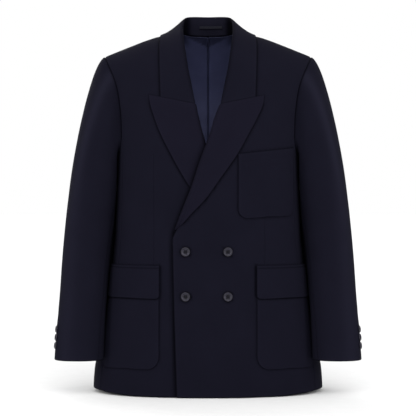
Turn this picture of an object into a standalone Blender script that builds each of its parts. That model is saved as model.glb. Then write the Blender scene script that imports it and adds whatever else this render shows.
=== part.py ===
"""A double breasted blazer, hollow and open as it hangs when worn.

Every cut piece of cloth is one thin wall, and each lies in its real layer: the wearer's left
front laps over the right one, the lapels and the collar fold back over the fronts, and the
flaps lie over the pockets. The origin lies between the shoulders at the base of the neck, +Z is
up, the fronts face -Y and the wearer's left is +X. All sizes are in metres.
"""

import math
from collections import namedtuple

import bpy
import numpy as np
from mathutils import Vector

COLLECTION = "double_breasted_blazer"

# Cloth and seams.
CLOTH = 0.0016
LINING = 0.0010
SEAM = 0.0003
SLEEVE_SEAM = 0.0006
LAY = 0.0008
COLLAR_LAY = 0.0016
LINING_LAY = 0.0024

# The shoulder line: its height over the neck's middle, its fall, how softly it turns there, and
# the slight hollow beside the neck.
RIDGE_TOP = 0.0395
RIDGE_FALL = 0.410
RIDGE_SOFT = 0.050
RIDGE_HOLLOW = 0.0040
RIDGE_HOLLOW_X = 0.085
RIDGE_HOLLOW_WIDTH = 0.022
RIDGE_Y = 0.010
FRONT_REACH = 0.130
BACK_REACH = 0.160
FRONT = -1
BACK = 1

# The body's rings, from the hem to the shoulders, as superellipses of this power.
HEM = -0.7225
FRONT_HEM_DIP = 0.0060
FRONT_HEM_DIP_X = (0.250, 0.140)
ROUNDNESS = 2.4
Ring = namedtuple("Ring", "height half_width front back")
TORSO = (
    Ring(HEM, 0.2390, 0.121, 0.127),
    Ring(-0.685, 0.2365, 0.120, 0.128),
    Ring(-0.630, 0.2260, 0.119, 0.126),
    Ring(-0.540, 0.2100, 0.117, 0.117),
    Ring(-0.430, 0.1965, 0.117, 0.104),
    Ring(-0.330, 0.1915, 0.121, 0.108),
    Ring(-0.230, 0.1915, 0.124, 0.119),
    Ring(-0.150, 0.1965, 0.122, 0.124),
    Ring(-0.100, 0.2095, 0.117, 0.124),
    Ring(-0.050, 0.2380, 0.110, 0.119),
    Ring(0.060, 0.2500, 0.098, 0.110),
)

# Seams between the panels: the side seams stand at one angle round the body, and the armholes
# are given by their way over the shoulder line, measured down the cloth.
FRONT_SEAM_ANGLE = 65.0
BACK_SEAM_ANGLE = 115.0
ARM_BOTTOM = -0.245
ARM_TIP_X = 0.217
ArmRow = namedtuple("ArmRow", "way x")
ARM_FRONT = (ArmRow(0.0, ARM_TIP_X), ArmRow(0.045, 0.2140), ArmRow(0.088, 0.2055),
             ArmRow(0.167, 0.1855), ArmRow(0.218, 0.1795))
ARM_BACK = (ArmRow(0.0, ARM_TIP_X), ArmRow(0.050, 0.2150), ArmRow(0.100, 0.2085),
            ArmRow(0.180, 0.1910), ArmRow(0.240, 0.1835))
ARM_FRONT_JOIN = 0.262
ARM_BACK_JOIN = 0.285

# Roll lines and front edges: distance past the middle, towards the wearer's own side of each
# front, against height. The left front is the upper one.
EdgeRow = namedtuple("EdgeRow", "height x")
GORGE_ROLL = (0.0245, -0.141)
GORGE_SLOPE = 0.218
BREAK = -0.392
ROLL_LEFT = (EdgeRow(BREAK, -0.0655), EdgeRow(-0.350, -0.0495), EdgeRow(-0.304, -0.0315),
             EdgeRow(-0.264, -0.0188), EdgeRow(-0.204, 0.0028), EdgeRow(-0.163, 0.0155),
             EdgeRow(GORGE_ROLL[1], GORGE_ROLL[0]))
ROLL_RIGHT = (EdgeRow(BREAK, -0.0450), EdgeRow(-0.350, -0.0320), EdgeRow(-0.304, -0.0195),
              EdgeRow(-0.264, -0.0085), EdgeRow(-0.218, 0.0056), EdgeRow(-0.175, 0.0172),
              EdgeRow(GORGE_ROLL[1], GORGE_ROLL[0]))
EDGE_LEFT = (EdgeRow(-0.402, -0.0695), EdgeRow(-0.440, -0.0706), EdgeRow(-0.573, -0.0675),
             EdgeRow(HEM - FRONT_HEM_DIP, -0.0625))
EDGE_RIGHT = (EdgeRow(-0.402, -0.0450), EdgeRow(HEM - FRONT_HEM_DIP, -0.0450))
ROLL_SET_BACK = 0.0035
LAP_RISE = 0.0072
LAP_RISE_BELOW = 0.0042

# Lapels: for each height on the roll line, where the outer edge lies and how high the roll
# stands over the front.
LapelRow = namedtuple("LapelRow", "roll_height edge_x edge_height lift")
LAPEL_LEFT = (
    LapelRow(GORGE_ROLL[1], 0.1135, -0.1225, 0.0045),
    LapelRow(-0.158, 0.1115, -0.1370, 0.0045),
    LapelRow(-0.195, 0.0985, -0.1680, 0.0045),
    LapelRow(-0.232, 0.0800, -0.2015, 0.0040),
    LapelRow(-0.265, 0.0580, -0.2410, 0.0035),
    LapelRow(-0.300, 0.0240, -0.2905, 0.0030),
    LapelRow(-0.333, -0.0040, -0.3300, 0.0025),
    LapelRow(-0.365, -0.0345, -0.3625, 0.0020),
    LapelRow(BREAK, -0.0590, -0.3915, 0.0012),
)
LAPEL_RIGHT = (
    LapelRow(GORGE_ROLL[1], 0.1195, -0.1205, 0.0045),
    LapelRow(-0.160, 0.1175, -0.1350, 0.0040),
    LapelRow(-0.190, 0.1085, -0.1655, 0.0022),
    LapelRow(-0.215, 0.0975, -0.1950, 0.0008),
    LapelRow(-0.250, 0.0760, -0.2385, 0.0),
    LapelRow(-0.280, 0.0570, -0.2735, 0.0),
    LapelRow(-0.310, 0.0350, -0.3090, 0.0),
    LapelRow(-0.345, 0.0040, -0.3460, 0.0),
    LapelRow(BREAK, -0.0385, -0.3915, 0.0),
)
FACING_LEG = 0.014
STAND_LEG = 0.006
LAPEL_ROWS = 15
ROLL_TURNS = (-90, -45, 0, 45, 90)
FALL_SHARES = (0.20, 0.45, 0.72, 1.0)

# The collar from the centre back to the gorge: the neck seam and the leaf's edge lie on the
# body (a negative way is down the back), and the roll is a line in the air.
CollarRow = namedtuple("CollarRow", "neck_x neck_way roll_x roll_y roll_z leaf_x leaf_way")
COLLAR = (
    CollarRow(0.0, -0.0777, 0.0, 0.0520, 0.0593, 0.0, -0.1020),
    CollarRow(0.036, -0.0660, 0.0300, 0.0440, 0.0585, 0.0520, -0.0920),
    CollarRow(0.058, -0.0340, 0.0450, 0.0260, 0.0540, 0.0800, -0.0560),
    CollarRow(0.066, 0.0000, 0.0505, 0.0040, 0.0450, 0.0960, -0.0040),
    CollarRow(0.0655, 0.0450, 0.0520, -0.0290, 0.0290, 0.0990, 0.0450),
    CollarRow(0.062, 0.0950, 0.0505, -0.0750, 0.0006, 0.0995, 0.0950),
    CollarRow(0.0555, 0.1400, 0.0455, -0.1045, -0.0365, 0.0985, 0.1350),
    CollarRow(0.0445, 0.1900, 0.0385, -0.1215, -0.0800, 0.0970, 0.1750),
    CollarRow(0.0305, 0.2438, 0.0245, -0.1265, -0.1410, 0.0955, 0.2155),
)
COLLAR_COLUMNS = 37
NECK_SET_BACK = 0.0020
NECK_SIDE_STATION = 3
NECK_STEPS = 20
ROLL_PULL_IN = 0.0040
ROLL_PULL_OUT = 0.0050
LEG_PULL = 0.35

# Sleeves: rings from the cuff up to the biceps, as superellipses of this power.
SLEEVE_ROUNDNESS = 2.3
SleeveRing = namedtuple("SleeveRing", "height outer half_width middle half_depth clearance")
SLEEVE = (
    SleeveRing(-0.658, 0.3140, 0.0505, -0.064, 0.042, 0.0035),
    SleeveRing(-0.600, 0.3115, 0.0505, -0.050, 0.046, 0.0045),
    SleeveRing(-0.530, 0.3070, 0.0510, -0.033, 0.051, 0.0070),
    SleeveRing(-0.450, 0.3030, 0.0520, -0.018, 0.056, 0.0070),
    SleeveRing(-0.370, 0.2965, 0.0545, -0.009, 0.061, 0.0035),
    SleeveRing(-0.300, 0.2885, 0.0570, -0.005, 0.066, 0.0030),
)
HEAD_TOP_PULL = 0.080
HEAD_BOTTOM_PULL = 0.030
HEAD_FULLNESS = 0.020
HEAD_DOWNS = (0.0, 0.05, 0.13, 0.25, 0.4, 0.55, 0.7, 0.85)
ARM_DOWNS = tuple(np.linspace(1, 2, 10))
BESIDE_FROM = -0.19
BESIDE_SOFTNESS = 0.004

# Sleeve seams, as places round the sleeve: 0 outermost, 0.25 in front, 0.5 against the body.
FRONT_ARM_SEAM = 0.40
HIND_SEAM_TOP = 0.75
HIND_SEAM_CUFF = 1.01
SEAM_STRIP = 0.025
TOP_SLEEVE_COLUMNS = 12
UNDER_SLEEVE_COLUMNS = 9

# Pockets and flaps: widths are measured round the cloth from the inner edge.
PATCH_COLUMNS = 12
POCKET_INNER_X = 0.0980
POCKET_WIDTH = 0.1400
POCKET_TOP = -0.4700
POCKET_BOTTOM = -0.6740
POCKET_CORNER = 0.0250
FLAP_INNER_X = 0.0965
FLAP_WIDTH = 0.1430
FLAP_TOP = -0.4645
FLAP_BOTTOM = -0.5320
FLAP_CORNER = 0.0080
CHEST_INNER_X = 0.0590
CHEST_WIDTH = 0.1320
CHEST_TOP_INNER = -0.2400
CHEST_TOP_OUTER = -0.2250
CHEST_BOTTOM_INNER = -0.3705
CHEST_BOTTOM_OUTER = -0.3640
CHEST_CORNER = 0.0210

# Lining and loop.
LINING_BOTTOM_WAY = 0.360
LINING_NECK_GAP = 0.0120
LINING_SHOULDER_WAY = 0.0400
LINING_REACH = 0.93
LINING_SHARES = (0.12, 0.27, 0.41, 0.56, 0.71, 0.85, 1.0)
LINING_ROWS = 12
PLEAT_HALF_WIDTH = 0.0060
PLEAT_DEPTH = 0.0030
LOOP_MIDDLE = 0.0062
LOOP_HALF_WIDTH = 0.0232
LOOP_LOW = 0.36
LOOP_HIGH = 0.50
LOOP_BOW = 0.0012
# Buttons are turned: the profile runs from the dish over the rim to the back, with the radius
# and the thickness as 1.
BUTTON_PROFILE = ((0.0, 0.55), (0.55, 0.60), (0.80, 1.0), (0.95, 0.85), (1.0, 0.50), (0.80, 0.0),
                  (0.0, 0.0))
BUTTON_THICKNESS = 0.36
FRONT_BUTTON_STEPS = 16
CUFF_BUTTON_STEPS = 12
FRONT_BUTTON_RADIUS = 0.0095
FRONT_BUTTON_COLUMNS = (-0.0446, 0.0396)
FRONT_BUTTON_ROWS = (-0.4368, -0.5270)
CUFF_BUTTON_RADIUS = 0.0072
CUFF_BUTTON_HEIGHTS = (-0.5966, -0.6130, -0.6294)
CUFF_BUTTON_PLACE = 0.055
NEAR = 0.004

# Materials: colour and roughness.
NAVY = ("wool_navy", (0.0098, 0.0098, 0.0170, 1.0), 0.85)
SATIN = ("lining_blue", (0.0160, 0.0180, 0.0420, 1.0), 0.35)
HORN = ("button_horn", (0.0500, 0.0440, 0.0620, 1.0), 0.35)


class Curve:
    """A smooth curve through the rows of a table, against its first, rising column."""

    def __init__(self, rows):
        table = np.array(sorted(rows), float)
        self.places = table[:, 0]
        self.values = table[:, 1:]
        self.slopes = np.gradient(self.values, self.places, axis=0)

    def __call__(self, place):
        last = len(self.places) - 2
        i = int(np.clip(np.searchsorted(self.places, place) - 1, 0, last))
        span = self.places[i + 1] - self.places[i]
        t = min(max((place - self.places[i]) / span, 0.0), 1.0)
        return hermite(self.values[i], self.slopes[i] * span,
                       self.values[i + 1], self.slopes[i + 1] * span, t)


def hermite(start, start_pull, end, end_pull, t):
    """The cubic from one point to another with a given pull at each end."""
    return ((2 * t**3 - 3 * t**2 + 1) * start + (t**3 - 2 * t**2 + t) * start_pull
            + (3 * t**2 - 2 * t**3) * end + (t**3 - t**2) * end_pull)


def bezier(a, b, c, d, t):
    """The cubic from a to d that leaves towards b and comes in from c."""
    return (1 - t)**3 * a + 3 * t * (1 - t)**2 * b + 3 * t**2 * (1 - t) * c + t**3 * d


def ease(value, start, end):
    """0 before start, 1 past end, and a soft step between; start may be the larger."""
    t = min(max((value - start) / (end - start), 0.0), 1.0)
    return t * t * (3 - 2 * t)


def unit(vector):
    return vector / np.linalg.norm(vector)


def powered(value, power):
    return math.copysign(abs(value) ** power, value)


# ---- The body's surface -------------------------------------------------------------------

torso_ring = Curve(TORSO)


def ridge(x):
    """Height of the shoulder line."""
    hollow = RIDGE_HOLLOW * math.exp(-((abs(x) - RIDGE_HOLLOW_X) / RIDGE_HOLLOW_WIDTH) ** 2)
    return RIDGE_TOP - RIDGE_FALL * (math.hypot(x, RIDGE_SOFT) - RIDGE_SOFT) - hollow


def reach_of(facing):
    return FRONT_REACH if facing == FRONT else BACK_REACH


def drop(way, facing):
    """How far the cloth has come down after a way over the shoulder line."""
    reach = reach_of(facing)
    turn = reach * math.pi / 2
    fall = reach * (1 - math.cos(abs(way) / reach)) if abs(way) < turn else reach + abs(way) - turn
    return math.copysign(fall, way)


def ring_depth(x, z, facing):
    """Depth of the body's ring at a height, before the shoulder rounds it off."""
    half_width, front, back = torso_ring(z)
    across = min(abs(x) / half_width, 0.9999)
    full = (1 - across**ROUNDNESS) ** (1 / ROUNDNESS)
    return facing * full * (front if facing == FRONT else back)


def torso_point(x, z, facing):
    """The point of the front or the back at x and height z."""
    lift = 1 - min(max((ridge(x) - z) / reach_of(facing), 0.0), 1.0)
    arch = math.sqrt(max(1 - lift * lift, 0.0))
    return np.array((x, RIDGE_Y + (ring_depth(x, z, facing) - RIDGE_Y) * arch, z))


def torso_level(point):
    """1 on the front or back surface and more outside it."""
    x, y, z = point
    facing = FRONT if y < RIDGE_Y else BACK
    lift = max(1 - (ridge(x) - z) / reach_of(facing), 0.0)
    return math.hypot((y - RIDGE_Y) / (ring_depth(x, z, facing) - RIDGE_Y), lift)


def level_slope(point):
    """The gradient of torso_level."""
    step = 0.0002
    slope = []
    for axis in np.eye(3):
        slope.append((torso_level(point + axis * step) - torso_level(point - axis * step)) / (2 * step))
    return np.array(slope)


def outward(point):
    """The surface's direction outwards at a point of the front or back."""
    return unit(level_slope(point))


def clear_of_body(point, distance):
    """The point, moved out where it lies closer to the body than a distance."""
    slope = level_slope(point)
    steepness = np.linalg.norm(slope)
    short = distance - (torso_level(point) - 1) / steepness
    return point + slope / steepness * max(short, 0.0)


def way_point(x, way):
    """The point of the body a way over the shoulder line, forwards or, if negative, back."""
    facing = FRONT if way >= 0 else BACK
    return torso_point(x, ridge(x) - drop(abs(way), facing), facing)


def angle_at(x, z):
    """The angle round the body's ring, 0 at the front's middle, of a point of the front at x."""
    half_width = torso_ring(z)[0]
    return math.asin(powered(max(min(x / half_width, 1.0), -1.0), ROUNDNESS / 2))


def ring_point(angle, z):
    """The point of the body's ring at an angle from the front's middle to the back's."""
    half_width, front, back = torso_ring(z)
    x = half_width * powered(math.sin(angle), 2 / ROUNDNESS)
    depth = front if math.cos(angle) > 0 else back
    return np.array((x, -depth * powered(math.cos(angle), 2 / ROUNDNESS), z))


def round_the_body(z, start_x, distances):
    """The angles reached by going distances round the cloth at a height from start_x."""
    start = angle_at(start_x, z)
    angles = np.linspace(start, start + math.radians(90), 181)
    points = np.array([ring_point(angle, z) for angle in angles])
    steps = np.linalg.norm(np.diff(points, axis=0), axis=1)
    walked = np.concatenate(([0.0], np.cumsum(steps)))
    return np.interp(distances, walked, angles)


def lap_rise(x, z):
    """How far the upper front stands off the body where it laps over the lower one."""
    level = LAP_RISE_BELOW + (LAP_RISE - LAP_RISE_BELOW) * ease(z, -0.420, -0.360)
    return level * ease(x, 0.110, 0.050) * ease(z, -0.130, -0.214)


def rise_of(side, x, z):
    return lap_rise(x, z) if side > 0 else 0.0


# ---- Meshes -------------------------------------------------------------------------------

def clear_scene():
    for thing in list(bpy.data.objects):
        bpy.data.objects.remove(thing, do_unlink=True)


def material(look):
    name, colour, roughness = look
    made = bpy.data.materials.get(name)
    if made is None:
        made = bpy.data.materials.new(name)
        made.use_nodes = True
        shader = made.node_tree.nodes["Principled BSDF"]
        shader.inputs["Base Color"].default_value = colour
        shader.inputs["Roughness"].default_value = roughness
        shader.inputs["Metallic"].default_value = 0.0
    return made


def add_object(name, vertices, faces, look):
    mesh = bpy.data.meshes.new(name)
    mesh.from_pydata([tuple(v) for v in vertices], [], faces)
    mesh.materials.append(material(look))
    mesh.shade_smooth()
    made = bpy.data.objects.new(name, mesh)
    bpy.data.collections[COLLECTION].objects.link(made)
    return made


def grid_normals(grid, inside):
    """Normals of a grid of points, turned away from a point inside."""
    along = np.gradient(grid, axis=0)
    across = np.gradient(grid, axis=1)
    normals = np.cross(along, across)
    normals /= np.linalg.norm(normals, axis=2, keepdims=True)
    facing = np.sum(normals * (grid - inside))
    return normals if facing > 0 else -normals


def moved_out(grid, distances, inside):
    return grid + grid_normals(grid, inside) * np.asarray(distances)[..., None]


def trimmed(grid, gap=SEAM):
    """The grid with each of its four edges drawn in, as a seam needs."""
    trim = grid.copy()
    for edge, inner in ((0, 1), (-1, -2)):
        step = grid[inner] - grid[edge]
        trim[edge] += step / np.linalg.norm(step, axis=1, keepdims=True) * gap
    for edge, inner in ((0, 1), (-1, -2)):
        step = trim[:, inner] - trim[:, edge]
        trim[:, edge] += step / np.linalg.norm(step, axis=1, keepdims=True) * gap
    return trim


def mirrored(grid, side):
    return grid * np.array((side, 1.0, 1.0))


def cloth(name, grid, wall, look, inside, offset=-1.0):
    """One piece of cloth: a grid of points as an open surface, given its wall by Solidify."""
    rows, columns = grid.shape[:2]
    corner = np.cross(grid[1, 0] - grid[0, 0], grid[0, 1] - grid[0, 0])
    normals = grid_normals(grid, inside)
    turned = np.dot(corner, normals[0, 0]) < 0
    faces = []
    for i in range(rows - 1):
        for j in range(columns - 1):
            face = (i * columns + j, (i + 1) * columns + j,
                    (i + 1) * columns + j + 1, i * columns + j + 1)
            faces.append(face[::-1] if turned else face)
    made = add_object(name, grid.reshape(-1, 3), faces, look)
    solidify = made.modifiers.new("wall", "SOLIDIFY")
    solidify.thickness = wall
    solidify.offset = offset
    return made


BODY_INSIDE = np.array((0.0, 0.0, -0.35))
SLEEVE_INSIDE = np.array((0.25, -0.02, -0.40))


# ---- Outlines of the panels ---------------------------------------------------------------

OUTLINE_POINTS = 80
ARMHOLE_ROUNDNESS = 2.2

def seam_x(z):
    """Where the side seam runs at a height, seen from the front."""
    return torso_ring(z)[0] * math.sin(math.radians(FRONT_SEAM_ANGLE)) ** (2 / ROUNDNESS)


def arm_curve(rows, join_way, facing):
    """The armhole on one panel: x against the way down from the shoulder line."""
    x = rows[-1].x
    for _ in range(4):
        x = seam_x(ridge(x) - drop(join_way, facing))
    return Curve((*rows, ArmRow(join_way, x)))


arm_front = arm_curve(ARM_FRONT, ARM_FRONT_JOIN, FRONT)
arm_back = arm_curve(ARM_BACK, ARM_BACK_JOIN, BACK)
roll_left = Curve(ROLL_LEFT)
roll_right = Curve(ROLL_RIGHT)


def collar_rows():
    """The collar's stations all round, mirrored past the centre back."""
    rows = [(station, *row) for station, row in enumerate(COLLAR)]
    flip = np.array((-1, -1, 1, -1, 1, 1, -1, 1))
    return rows + [tuple(np.array(row) * flip) for row in rows[1:]]


collar_curve = Curve(collar_rows())
LAST_STATION = len(COLLAR) - 1


def neck_outline(facing):
    """The panels' neck edge in x and height, set back from the collar's seam."""
    stations = np.linspace(0, LAST_STATION, 2 * OUTLINE_POINTS)
    seam = np.array([collar_curve(station)[:2] for station in stations])
    along = np.gradient(seam, axis=0)
    across = np.stack((along[:, 1], -along[:, 0]), axis=1)
    across /= np.linalg.norm(across, axis=1, keepdims=True)
    edge = seam + across * NECK_SET_BACK
    edge[0] = (0.0, seam[0, 1] - NECK_SET_BACK)
    points = [(x, ridge(x) - drop(-facing * way, facing)) for x, way in edge]
    return points if facing == FRONT else points[::-1]


def front_inner_outline(side):
    """A front's inner outline from the neck down the roll line and the front edge."""
    roll = roll_left if side > 0 else roll_right
    edge = EDGE_LEFT if side > 0 else EDGE_RIGHT
    heights = np.linspace(GORGE_ROLL[1] - ROLL_SET_BACK, BREAK, OUTLINE_POINTS)
    rolled = [(float(roll(z)[0]) + ROLL_SET_BACK, z) for z in heights]
    return neck_outline(FRONT) + rolled + [(row.x, row.height) for row in edge]


def outer_outline(facing):
    """The armhole and the side seam, from the shoulder's tip to the hem."""
    arm = arm_front if facing == FRONT else arm_back
    join = ARM_FRONT_JOIN if facing == FRONT else ARM_BACK_JOIN
    points = []
    for way in np.linspace(0, join, OUTLINE_POINTS):
        x = float(arm(way)[0])
        points.append((x, ridge(x) - drop(way, facing)))
    seam_heights = np.linspace(points[-1][1], HEM, OUTLINE_POINTS)[1:]
    return points + [(seam_x(z), z) for z in seam_heights]


def hem_height(x, facing):
    """Height of the hem, a little lower in the middle of the fronts."""
    return HEM - (FRONT_HEM_DIP * ease(abs(x), *FRONT_HEM_DIP_X) if facing == FRONT else 0.0)


def row_height(x, row, facing):
    """Height of a row of cloth, which follows the shoulder and levels out at the hem."""
    way, share = row
    hem = hem_height(x, facing)
    return hem + (ridge(x) - drop(way, facing) - hem) * share


def meet(outline, row, facing):
    """Where a row crosses an outline that runs from the top down."""
    above = np.array([z - row_height(x, row, facing) for x, z in outline])
    below = np.nonzero(above < 1e-9)[0]
    if len(below) == 0:
        return outline[-1]
    i = int(below[0])
    if i == 0:
        return outline[0]
    t = above[i - 1] / (above[i - 1] - above[i])
    start = np.array(outline[i - 1])
    return tuple(start + (np.array(outline[i]) - start) * t)


def panel_rows(ways, shares):
    """Rows of a panel: some down over the shoulder, and then level ones to the hem."""
    return [(way, 1.0) for way in ways] + [(ways[-1], share) for share in shares]


def panel_grid(inner, outer, rows, columns, facing):
    """A front or back panel between two outlines, on the body's surface."""
    grid = np.zeros((len(rows), columns, 3))
    for i, row in enumerate(rows):
        ends = [meet(outline, row, facing) for outline in (inner, outer)]
        start, end = (angle_at(x, z) for x, z in ends)
        height = ends[0][1]
        for j, angle in enumerate(np.linspace(start, end, columns)):
            for _ in range(6):
                x = torso_ring(height)[0] * powered(math.sin(angle), 2 / ROUNDNESS)
                height = row_height(x, row, facing)
            grid[i, j] = torso_point(x, height, facing)
        for j, (x, z) in ((0, ends[0]), (-1, ends[1])):
            grid[i, j] = torso_point(x, z, facing)
    return grid


# ---- Fronts, sides and backs ---------------------------------------------------------------

FRONT_COLUMNS = 13
BACK_COLUMNS = 10
SIDE_COLUMNS = 7
SIDE_ROWS = 12
FRONT_WAYS = (0.0, 0.018, 0.04, 0.065, 0.092, 0.12, 0.15, 0.18, 0.21, 0.24, ARM_FRONT_JOIN)
FRONT_SHARES = (0.95, 0.90, 0.85, 0.80, 0.74, 0.68, 0.62, 0.57, 0.48, 0.38, 0.26, 0.13, 0.0)
BACK_NECK_WAY = NECK_SET_BACK - COLLAR[0].neck_way
BACK_WAYS = (0.0, 0.022, 0.045, 0.066, BACK_NECK_WAY, 0.105, 0.135, 0.17, 0.205, 0.245,
             ARM_BACK_JOIN)
BACK_SHARES = (0.89, 0.78, 0.67, 0.56, 0.45, 0.34, 0.22, 0.11, 0.0)


def make_front(name, side):
    rows = panel_rows(FRONT_WAYS, FRONT_SHARES)
    grid = panel_grid(front_inner_outline(side), outer_outline(FRONT), rows, FRONT_COLUMNS, FRONT)
    for point in grid.reshape(-1, 3):
        rise = rise_of(side, point[0], point[2])
        if rise > 0:
            point += outward(point.copy()) * rise
    cloth(name, mirrored(trimmed(grid), side), CLOTH, NAVY, BODY_INSIDE)


def make_back(name, side):
    neck = ridge(0.0) - drop(BACK_NECK_WAY, BACK)
    centre = [(0.0, z) for z in np.linspace(neck, HEM, OUTLINE_POINTS)[1:]]
    rows = panel_rows(BACK_WAYS, BACK_SHARES)
    grid = panel_grid(neck_outline(BACK) + centre, outer_outline(BACK), rows, BACK_COLUMNS, BACK)
    cloth(name, mirrored(trimmed(grid), side), CLOTH, NAVY, BODY_INSIDE)


def arm_low(angle):
    """Height of the armhole's lower edge at an angle round the side."""
    front_join = outer_outline(FRONT)[OUTLINE_POINTS - 1][1]
    back_join = outer_outline(BACK)[OUTLINE_POINTS - 1][1]
    half = math.radians(BACK_SEAM_ANGLE - FRONT_SEAM_ANGLE) / 2
    u = (angle - math.pi / 2) / half
    join = front_join if u < 0 else back_join
    level = (1 - min(abs(u), 1) ** ARMHOLE_ROUNDNESS) ** (1 / ARMHOLE_ROUNDNESS)
    return join + (ARM_BOTTOM - join) * level


def make_side(name, side):
    angles = np.radians(np.linspace(FRONT_SEAM_ANGLE, BACK_SEAM_ANGLE, SIDE_COLUMNS))
    shares = np.linspace(1, 0, SIDE_ROWS)
    grid = np.zeros((len(shares), len(angles), 3))
    for j, angle in enumerate(angles):
        top = arm_low(angle)
        for i, share in enumerate(shares):
            grid[i, j] = ring_point(angle, HEM + (top - HEM) * share)
    cloth(name, mirrored(trimmed(grid), side), CLOTH, NAVY, BODY_INSIDE)


# ---- Lapels and collar ---------------------------------------------------------------------

def on_front(side, x, z, out):
    """A point over a front, a distance out from it."""
    point = torso_point(x, z, FRONT)
    return point + outward(point) * (rise_of(side, x, z) + out)


def on_gorge(point):
    """The point brought up or down to the gorge line, where collar and lapel meet."""
    x, y, _ = point
    return np.array((x, y, GORGE_ROLL[1] + GORGE_SLOPE * (abs(x) - GORGE_ROLL[0])))


def roll_section(inner_leg, length, lift):
    """Distances from the roll and out of the front, from inside it round to the edge."""
    low = -CLOTH - LAY - CLOTH / 2
    lay = LAY + CLOTH / 2
    high = lay + lift
    radius = (high - low) / 2
    section = [(inner_leg, low), ((inner_leg + radius) / 2, low)]
    for turn in np.radians(ROLL_TURNS):
        section.append((radius - radius * math.cos(turn), low + radius + radius * math.sin(turn)))
    for share in FALL_SHARES:
        section.append((radius + (length - radius) * share, lay + lift * (1 - share) ** 2))
    return section


def section_points(side, start, end, inner_leg, lift):
    """The folded cloth over a front from a point of its roll line to one of its edge."""
    way = end - start
    length = np.linalg.norm(way)
    points = []
    for distance, out in roll_section(inner_leg, length, lift):
        x, z = start + way / length * distance
        points.append(on_front(side, x, z, out))
    return np.array(points)


def make_lapel(name, side):
    roll = roll_left if side > 0 else roll_right
    edge = Curve(LAPEL_LEFT if side > 0 else LAPEL_RIGHT)
    grid = []
    for height in np.linspace(GORGE_ROLL[1], BREAK, LAPEL_ROWS):
        start = np.array((float(roll(height)[0]), height))
        edge_x, edge_height, lift = edge(height)
        end = np.array((edge_x, edge_height))
        grid.append(section_points(side, start, end, FACING_LEG, lift))
    grid[0] = [on_gorge(point) for point in grid[0]]
    cloth(name, mirrored(trimmed(np.array(grid)), side), CLOTH, NAVY, BODY_INSIDE, offset=0.0)


def collar_section(station):
    """The collar's section: up the stand, round the roll and down the fall."""
    neck_x, neck_way, roll_x, roll_y, roll_z, leaf_x, leaf_way = collar_curve(station)
    neck = way_point(neck_x, neck_way)
    roll = np.array((roll_x, roll_y, roll_z))
    leaf = way_point(leaf_x, leaf_way)
    skin = outward(leaf)
    leaf = leaf + skin * (COLLAR_LAY + CLOTH / 2)
    tip = unit(unit(roll - neck) - unit(leaf - roll))
    over = unit(skin - tip * np.dot(skin, tip))
    stand_pull = LEG_PULL * np.linalg.norm(roll - neck)
    fall = leaf - roll
    flat = unit(fall - skin * np.dot(fall, skin))
    fall_pull = LEG_PULL * np.linalg.norm(fall)
    points = []
    for t in (0.0, 0.35, 0.7, 0.9):
        points.append(bezier(neck, neck + unit(roll - neck) * stand_pull,
                             roll - over * ROLL_PULL_IN, roll, t))
    for t in (0.0, 0.08, 0.2, 0.4, 0.6, 0.8, 1.0):
        point = bezier(roll, roll + over * ROLL_PULL_OUT, leaf - flat * fall_pull, leaf, t)
        points.append(clear_of_body(point, COLLAR_LAY + CLOTH / 2))
    return np.array(points)


def collar_end():
    """The collar's section at the gorge, where its fold is the lapel's."""
    notch = COLLAR[-1].leaf_x
    end = np.array((notch, GORGE_ROLL[1] + GORGE_SLOPE * (notch - GORGE_ROLL[0])))
    points = section_points(-1, np.array(GORGE_ROLL), end, STAND_LEG, LAPEL_LEFT[0].lift)
    return np.array([on_gorge(point) for point in points])


def make_collar():
    stations = np.linspace(-LAST_STATION, LAST_STATION, COLLAR_COLUMNS)
    end = collar_end()
    grid = []
    for station in stations:
        near_end = ease(abs(station), LAST_STATION - 1, LAST_STATION)
        section = collar_section(station) * (1 - near_end)
        grid.append(section + mirrored(end, math.copysign(1.0, station)) * near_end)
    grid = np.array(grid)
    cloth("collar", trimmed(grid), CLOTH, NAVY, BODY_INSIDE, offset=0.0)


def make_hanging_loop():
    grid = []
    middle, reach = (width / (COLLAR[1].neck_x + COLLAR[1].roll_x) * 2
                     for width in (LOOP_MIDDLE, LOOP_HALF_WIDTH))
    for station in np.linspace(middle - reach, middle + reach, 9):
        neck_x, neck_way, roll_x, roll_y, roll_z = collar_curve(station)[:5]
        neck = way_point(neck_x, neck_way)
        roll = np.array((roll_x, roll_y, roll_z))
        bow = LOOP_BOW * (1 - ((station - middle) / reach) ** 2)
        inwards = np.array((0.0, -1.0, 0.0)) * (CLOTH / 2 + LAY + LINING + bow)
        row = [neck + (roll - neck) * share + inwards for share in (LOOP_LOW, LOOP_HIGH)]
        grid.append(row)
    cloth("hanging_loop", np.array(grid), LINING, NAVY, BODY_INSIDE, offset=-1.0)


def lining_top(x):
    """The lining's top edge as a way down the back: along the neck, then level."""
    stations = np.linspace(0, NECK_SIDE_STATION, NECK_STEPS)
    neck = np.array([collar_curve(station)[:2] for station in stations])
    way = np.interp(abs(x), neck[:, 0], -neck[:, 1])
    return max(way + LINING_NECK_GAP, LINING_SHOULDER_WAY)


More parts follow.
